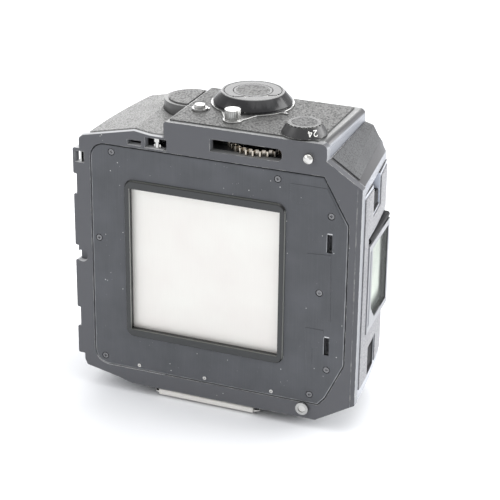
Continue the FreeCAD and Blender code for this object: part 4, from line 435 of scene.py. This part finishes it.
def flange_line_and_highlight(made, base):
    """The rubbed scribed line along the flange's right edge, and a painted highlight on its deck's
    edge.
    """
    line = made.times(made.within("X", *SCRIBED_LINE_WIDE, 0.06),
                      made.within("Z", *SCRIBED_LINE_TALL, 3))
    line = made.times(line, made.ramp(made.noise(3, 4), (0.3, 0.15), (0.6, 0.75)))
    base = made.mixed(line, base, linear(168, 170, 173))
    # Painted highlight on the up-facing faces of the deck's edge
    painted_deck_highlight = made.times(made.facing("Z", 0.25, 0.6),
                           made.flip(made.along("X", *DECK_HIGHLIGHT_END)))
    return made.mixed(painted_deck_highlight, base, linear(206, 207, 209))


def rubbed_edge(made, base):
    """The bare metal along the edges of the shoulder."""
    rub = made.ramp(made.noise(1.4, 5), (0.38, 0.0), (0.52, 1.0))
    return made.mixed(made.times(made.edges(0.55), rub), base, linear(224, 225, 227))


def side_cover_painted_light(made, base):
    """Painted light on the upper half of the side cover round its upper recess, but for its front
    faces.
    """
    rear = made.times(made.flip(made.facing("Y", -0.9, -0.6)), made.along("Y", *RECESS_REAR))
    rear = made.times(rear, made.along("Z", *UPPER_RECESS_FROM))
    return made.mixed(rear, base, linear(226, 232, 244))


def window_shade(made, base):
    """The deep shade on the inner faces in the rear half of the window's frame."""
    rear = made.times(made.along("Y", *WINDOW_REAR), made.flip(made.facing("X", 0.5, 0.8)))
    return made.mixed(rear, base, linear(44, 46, 47))


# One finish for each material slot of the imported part
finishes = {
    # The flange's side and top colours are painted light on faces turned right and up
    "flange_paint": satin_paint("flange_paint", FRONT_GREY, 0.5, worn=SILVER,
                                side=linear(138, 140, 144), top=linear(140, 141, 142),
                                extra=flange_line_and_highlight),
    "plate_paint": plate_paint("plate_paint"),
    "satin_black_paint": satin_paint("satin_black_paint", linear(70, 71, 74), 0.42, worn=SILVER),
    # The side and top colours are painted light on faces turned right and up
    "cover_paint": satin_paint("cover_paint", COVER_GREY, 0.32, worn=SILVER,
                               side=PAINTED_RIGHT_LIGHT, top=PAINTED_TOP_LIGHT),
    # A pale metal for the black screws: painted highlight for the glints on their heads
    "black_screws": metal("black_screws", linear(132, 132, 134), 0.36),
    "bright_pins": metal("bright_pins", linear(214, 213, 210), 0.22),
    "slide_steel": sheet_steel("slide_steel"),
    "felt": matt("felt", linear(34, 33, 33), 0.2, 0.95),
    "spring_steel": metal("spring_steel", linear(196, 196, 194), 0.25),
    "clear_window": clear("clear_window"),
    "leatherette": leatherette("leatherette", linear(52, 52, 52), linear(98, 98, 97)),
    "polished_chrome": metal("polished_chrome", linear(226, 226, 224), 0.12, streak=0.03),
    "inner_black": matt("inner_black", linear(36, 36, 38), 0.3, 0.6),
    "backing_paper": matt("backing_paper", linear(58, 58, 60), 0.2, 0.7),
    "spool_plastic": matt("spool_plastic", linear(44, 44, 46), 0.4, 0.4),
    "latch_plastic": matt("latch_plastic", linear(40, 40, 42), 0.25, 0.6, shine=0.12),
    "frame_paint": satin_paint("frame_paint", linear(122, 123, 127), 0.35, speck=0.75,
                               worn=linear(200, 201, 204), extra=window_shade),
    "card": memo_card("card"),
    "gloss_black": gloss_black("gloss_black"),
    "gear_metal": metal("gear_metal", linear(200, 192, 180), 0.24),
    "dial_white": matt("dial_white", linear(226, 226, 224), 0.3, 0.5),
}
mark_white = matt("mark_white", linear(232, 232, 228), 0.2, 0.6)


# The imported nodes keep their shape, with slightly rounded edges

# How wide each piece's hard edges are rounded, in millimetres
ROUNDING = {
    "front_frame": 0.25, "front_plate": 0.2, "body_shell": 0.25, "bottom_cover": 0.25,
    "raised_cover": 0.3, "shoulder_cover": 0.3, "side_cover": 0.3, "rear_door": 0.2,
    "round_housing": 0.4, "window_frame": 0.2, "selector_dial": 0.15, "lever_plate": 0.15,
    "winding_knob": 0.12, "winding_key": 0.15, "lever_stud": 0.1, "button_collar": 0.15,
    "release_button": 0.2, "darkslide": 0.12, "upper_latch": 0.3, "lower_latch": 0.3,
    "deck_leather": 0.2, "raised_leather": 0.2, "side_leather": 0.2, "shoulder_leather": 0.2,
    "housing_leather": 0.2, "knob_leather": 0.15, "selector_leather": 0.15, "door_leather": 0.2,
    "transport_gear": 0.1, "window_bar": 0.15,
}
ROUNDED_FROM = math.radians(28)
FLAT_WITHIN = math.radians(0.5)
WELD_REACH = 0.002 * MM


def soften(item, width):
    """Rounds a node's hard edges by modifiers alone."""
    weld = item.modifiers.new("weld", "WELD")
    weld.merge_threshold = WELD_REACH
    flat = item.modifiers.new("flat_faces", "DECIMATE")
    flat.decimate_type = "DISSOLVE"
    flat.angle_limit = FLAT_WITHIN
    if width:
        bevel = item.modifiers.new("edges", "BEVEL")
        bevel.width = width * MM
        bevel.segments = 2
        bevel.limit_method = "ANGLE"
        bevel.angle_limit = ROUNDED_FROM
        bevel.use_clamp_overlap = True
        bevel.harden_normals = True


# The pieces that differ from their slot's finish
own_finish = {
    # Painted light: a paler copy of the black leatherette, with pale painted light on its edges
    "side_leather": leatherette("leatherette_side", linear(110, 110, 113),
                                linear(136, 136, 139), 0.5, painted_edge_shading=linear(160, 160, 163)),
    # Painted light: faces turned to the right are pale, and so is the upper half round the recess
    "side_cover": satin_paint("side_cover_paint", COVER_GREY, 0.32, worn=SILVER,
                              side=linear(164, 167, 174), extra=side_cover_painted_light),
    "winding_knob": gloss_black("knob_black", KNOB_RINGS),
    "selector_leather": leatherette("leatherette_selector", linear(44), linear(80)),
    "release_button": metal("button_steel", linear(196, 196, 194), 0.34),
    "button_collar": metal("collar_steel", linear(176, 176, 175), 0.34),
    "lever_plate": metal("lever_steel", linear(186, 186, 185), 0.3),
    "lever_stud": metal("stud_steel", linear(200, 200, 198), 0.36, streak=0.08),
    # Painted light: a paler copy of the black leatherette
    "housing_leather": leatherette("leatherette_housing", linear(66), linear(112, 112, 111)),
    "round_housing": satin_paint("housing_paint", linear(92), 0.32, worn=SILVER),
    # Painted light: a paler copy of the black leatherette
    "deck_leather": leatherette("leatherette_deck", linear(98), linear(140, 140, 139), 0.55),
    # Painted shade: the dial's up-facing faces are darker
    "selector_dial": satin_paint("selector_black", linear(44, 44, 45), 0.34, speck=0.6,
                                 worn=SILVER, top=linear(20)),
    # Painted light on faces turned right and up, and bare metal worn along the edges
    "shoulder_cover": satin_paint("shoulder_paint", COVER_GREY, 0.32, worn=SILVER,
                                  side=PAINTED_RIGHT_LIGHT, top=PAINTED_TOP_LIGHT, extra=rubbed_edge),
    # Painted shade: the part turned to the right is darker
    "shoulder_leather": leatherette("leatherette_shoulder", linear(66, 67, 68),
                                    linear(92, 93, 95), 0.5, side=linear(68, 69, 71)),
}
slot_of = {row["node"]: row["material_slot"] for row in frame["record"]["subparts"]}
for name, item in NODES.items():
    for entry in item.material_slots:
        entry.material = own_finish.get(name, finishes[slot_of[name]])
    soften(item, ROUNDING.get(name, 0))


# White marks on the sloping skirts of the two dials

# How far a stroke reaches into and out of its skirt, in millimetres
STROKE_SUNK = -0.12
STROKE_PROUD = 0.05

# Lines in shares of a digit's field, and the wedge as drawn() takes it
DIGIT_TWO = [(0.05, 0.78), (0.22, 0.97), (0.5, 1.0), (0.8, 0.95), (0.95, 0.74),
             (0.88, 0.52), (0.05, 0.03), (0.98, 0.03)]
DIGIT_FOUR = [(0.74, 0.0), (0.74, 1.0), (0.05, 0.3), (1.0, 0.3)]
WEDGE = [(-0.6, 0.66), (0.0, 0.42), (0.6, 0.66), (-0.6, 0.66)]


class Skirt:
    """The sloping skirt of a round dial, as a sheet to draw on round a given angle."""

    def __init__(self, node, low_radius, high_radius, angle):
        low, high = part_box(node)
        self.x = (low[0] + high[0]) / 2
        self.y = (low[1] + high[1]) / 2
        self.low = low[2]
        self.high = high[2]
        self.low_radius = low_radius * MM
        self.high_radius = high_radius * MM
        self.angle = math.radians(angle)

    def spot(self, along, up, out):
        """A place so far round the skirt, at a share of its height, in millimetres off it."""
        radius = self.low_radius + (self.high_radius - self.low_radius) * up
        turn = self.angle + along * MM / radius
        radius += out * MM
        return (self.x + radius * math.cos(turn), self.y + radius * math.sin(turn),
                self.low + (self.high - self.low) * up)


def drawn(skirt, lines, wide, share_of_mm):
    """Thin raised strokes along lines, as vertices and faces.

    A line's points go along the skirt in millimetres and up it in shares of its height, and
    share_of_mm is the share that one millimetre up the skirt makes.
    """
    points = []
    faces = []
    for line in lines:
        for (x0, y0), (x1, y1) in zip(line, line[1:]):
            across = x1 - x0
            rise = (y1 - y0) / share_of_mm
            half = wide / 2 / math.hypot(across, rise)
            aside = (rise * half, -across * half * share_of_mm)
            first = len(points)
            for out in (STROKE_SUNK, STROKE_PROUD):
                for x, y, sign in ((x0, y0, 1), (x1, y1, 1), (x1, y1, -1), (x0, y0, -1)):
                    points.append(skirt.spot(x + sign * aside[0], y + sign * aside[1], out))
            a, b, c, d, e, f, g, h = range(first, first + 8)
            faces += [(a, b, c, d), (e, h, g, f), (a, e, f, b), (b, f, g, c), (c, g, h, d),
                      (d, h, e, a)]
    return points, faces


def add_mark(name, body, points, faces):
    """A white mark that turns with its dial."""
    mesh = bpy.data.meshes.new(name)
    mesh.from_pydata(points, [], faces)
    mesh.materials.append(mark_white)
    mark = bpy.data.objects.new(name, mesh)
    bpy.context.scene.collection.objects.link(mark)
    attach(mark, body)


def upside_down(digit, start, wide=1.5, low=0.22, tall=0.5):
    """A digit's line, turned half round, in a field of the skirt."""
    return [(start + (1 - x) * wide, low + (1 - y) * tall) for x, y in digit]


selector = Skirt("selector_dial", 8.1, 6.1, angle=-46)
digits = [upside_down(DIGIT_FOUR, -1.75), upside_down(DIGIT_TWO, 0.25)]
add_mark("selector_numbers", "selector", *drawn(selector, digits, 0.32, 0.25))
knob = Skirt("winding_knob", 14.4, 11.3, angle=-21)
add_mark("knob_index", "knob", *drawn(knob, [WEDGE], 0.4, 0.25))


# Floor, light and camera

FLOOR_HALF = 3.0
WORLD_STRENGTH = 0.75

# Each lamp's place and size in metres, and its power in watts
LAMPS = {
    "lamp_above": ((0.1, 0.1, 0.9), 0.9, 4),
    "lamp_left": ((-0.7, -0.5, 0.6), 0.6, 2),
    "lamp_right": ((0.75, 0.45, 0.35), 0.7, 9),
    "lamp_back": ((-0.65, 1.2, 0.62), 1.0, 9),
}
LAMP_AIM = Vector((0, 0, 0.06))


def make_floor():
    """A wide white sheet under the object."""
    half = FLOOR_HALF
    corners = [(-half, -half, 0), (half, -half, 0), (half, half, 0), (-half, half, 0)]
    mesh = bpy.data.meshes.new("floor")
    mesh.from_pydata(corners, [], [(0, 1, 2, 3)])
    floor = bpy.data.objects.new("floor", mesh)
    bpy.context.scene.collection.objects.link(floor)
    made = Finish("floor_paper", linear(250, 251, 254), 0.9)
    made.paint(made.mixed(made.noise(60, 2), linear(248, 250, 254), linear(252, 253, 255)))
    mesh.materials.append(made.material)


def make_lamp(name, place, size, power):
    """A square soft lamp that faces the object."""
    data = bpy.data.lights.new(name, "AREA")
    data.size = size
    data.energy = power
    lamp = bpy.data.objects.new(name, data)
    lamp.location = place
    lamp.rotation_mode = "QUATERNION"
    lamp.rotation_quaternion = (LAMP_AIM - Vector(place)).to_track_quat("-Z", "Y")
    bpy.context.scene.collection.objects.link(lamp)


def make_world():
    """An even white room."""
    world = bpy.data.worlds.new("room")
    bpy.context.scene.world = world
    world.use_nodes = True
    back = world.node_tree.nodes["Background"]
    back.inputs["Color"].default_value = (1, 1, 1, 1)
    back.inputs["Strength"].default_value = WORLD_STRENGTH


# The camera's fit to the photograph
CAMERA_YAW = math.radians(21.37)
CAMERA_PITCH = math.radians(23.62)
CAMERA_ROLL = math.radians(0.70)
CAMERA_AWAY = 656 * MM
CAMERA_ASIDE = 14 * MM
CAMERA_ABOVE = 99 * MM
CAMERA_CENTRE = Vector((0, -23.5 * MM, -43.5 * MM))
SENSOR = 36.0
FOCAL_IN_FRAMES = 1714 / 500


def make_camera():
    """The camera where the photograph was taken from."""
    level = math.cos(CAMERA_PITCH)
    back = Vector((math.sin(CAMERA_YAW) * level, -math.cos(CAMERA_YAW) * level,
                   math.sin(CAMERA_PITCH)))
    right = (-back).cross(Vector((0, 0, 1))).normalized()
    up = back.cross(right)
    turned_right = right * math.cos(CAMERA_ROLL) + up * math.sin(CAMERA_ROLL)
    turned_up = up * math.cos(CAMERA_ROLL) - right * math.sin(CAMERA_ROLL)
    data = bpy.data.cameras.new("camera")
    data.sensor_width = SENSOR
    data.lens = SENSOR * FOCAL_IN_FRAMES
    data.clip_start = 0.05
    camera = bpy.data.objects.new("camera", data)
    place = (CAMERA_CENTRE + back * CAMERA_AWAY + turned_right * CAMERA_ASIDE
             + turned_up * CAMERA_ABOVE)
    turn = Matrix((turned_right, turned_up, back)).transposed()
    camera.matrix_world = Matrix.LocRotScale(place, turn.to_quaternion(), None)
    bpy.context.scene.collection.objects.link(camera)
    bpy.context.scene.camera = camera


make_floor()
make_world()
for name, (place, size, power) in LAMPS.items():
    make_lamp(name, place, size, power)
make_camera()
bpy.context.scene.view_settings.view_transform = "Standard"
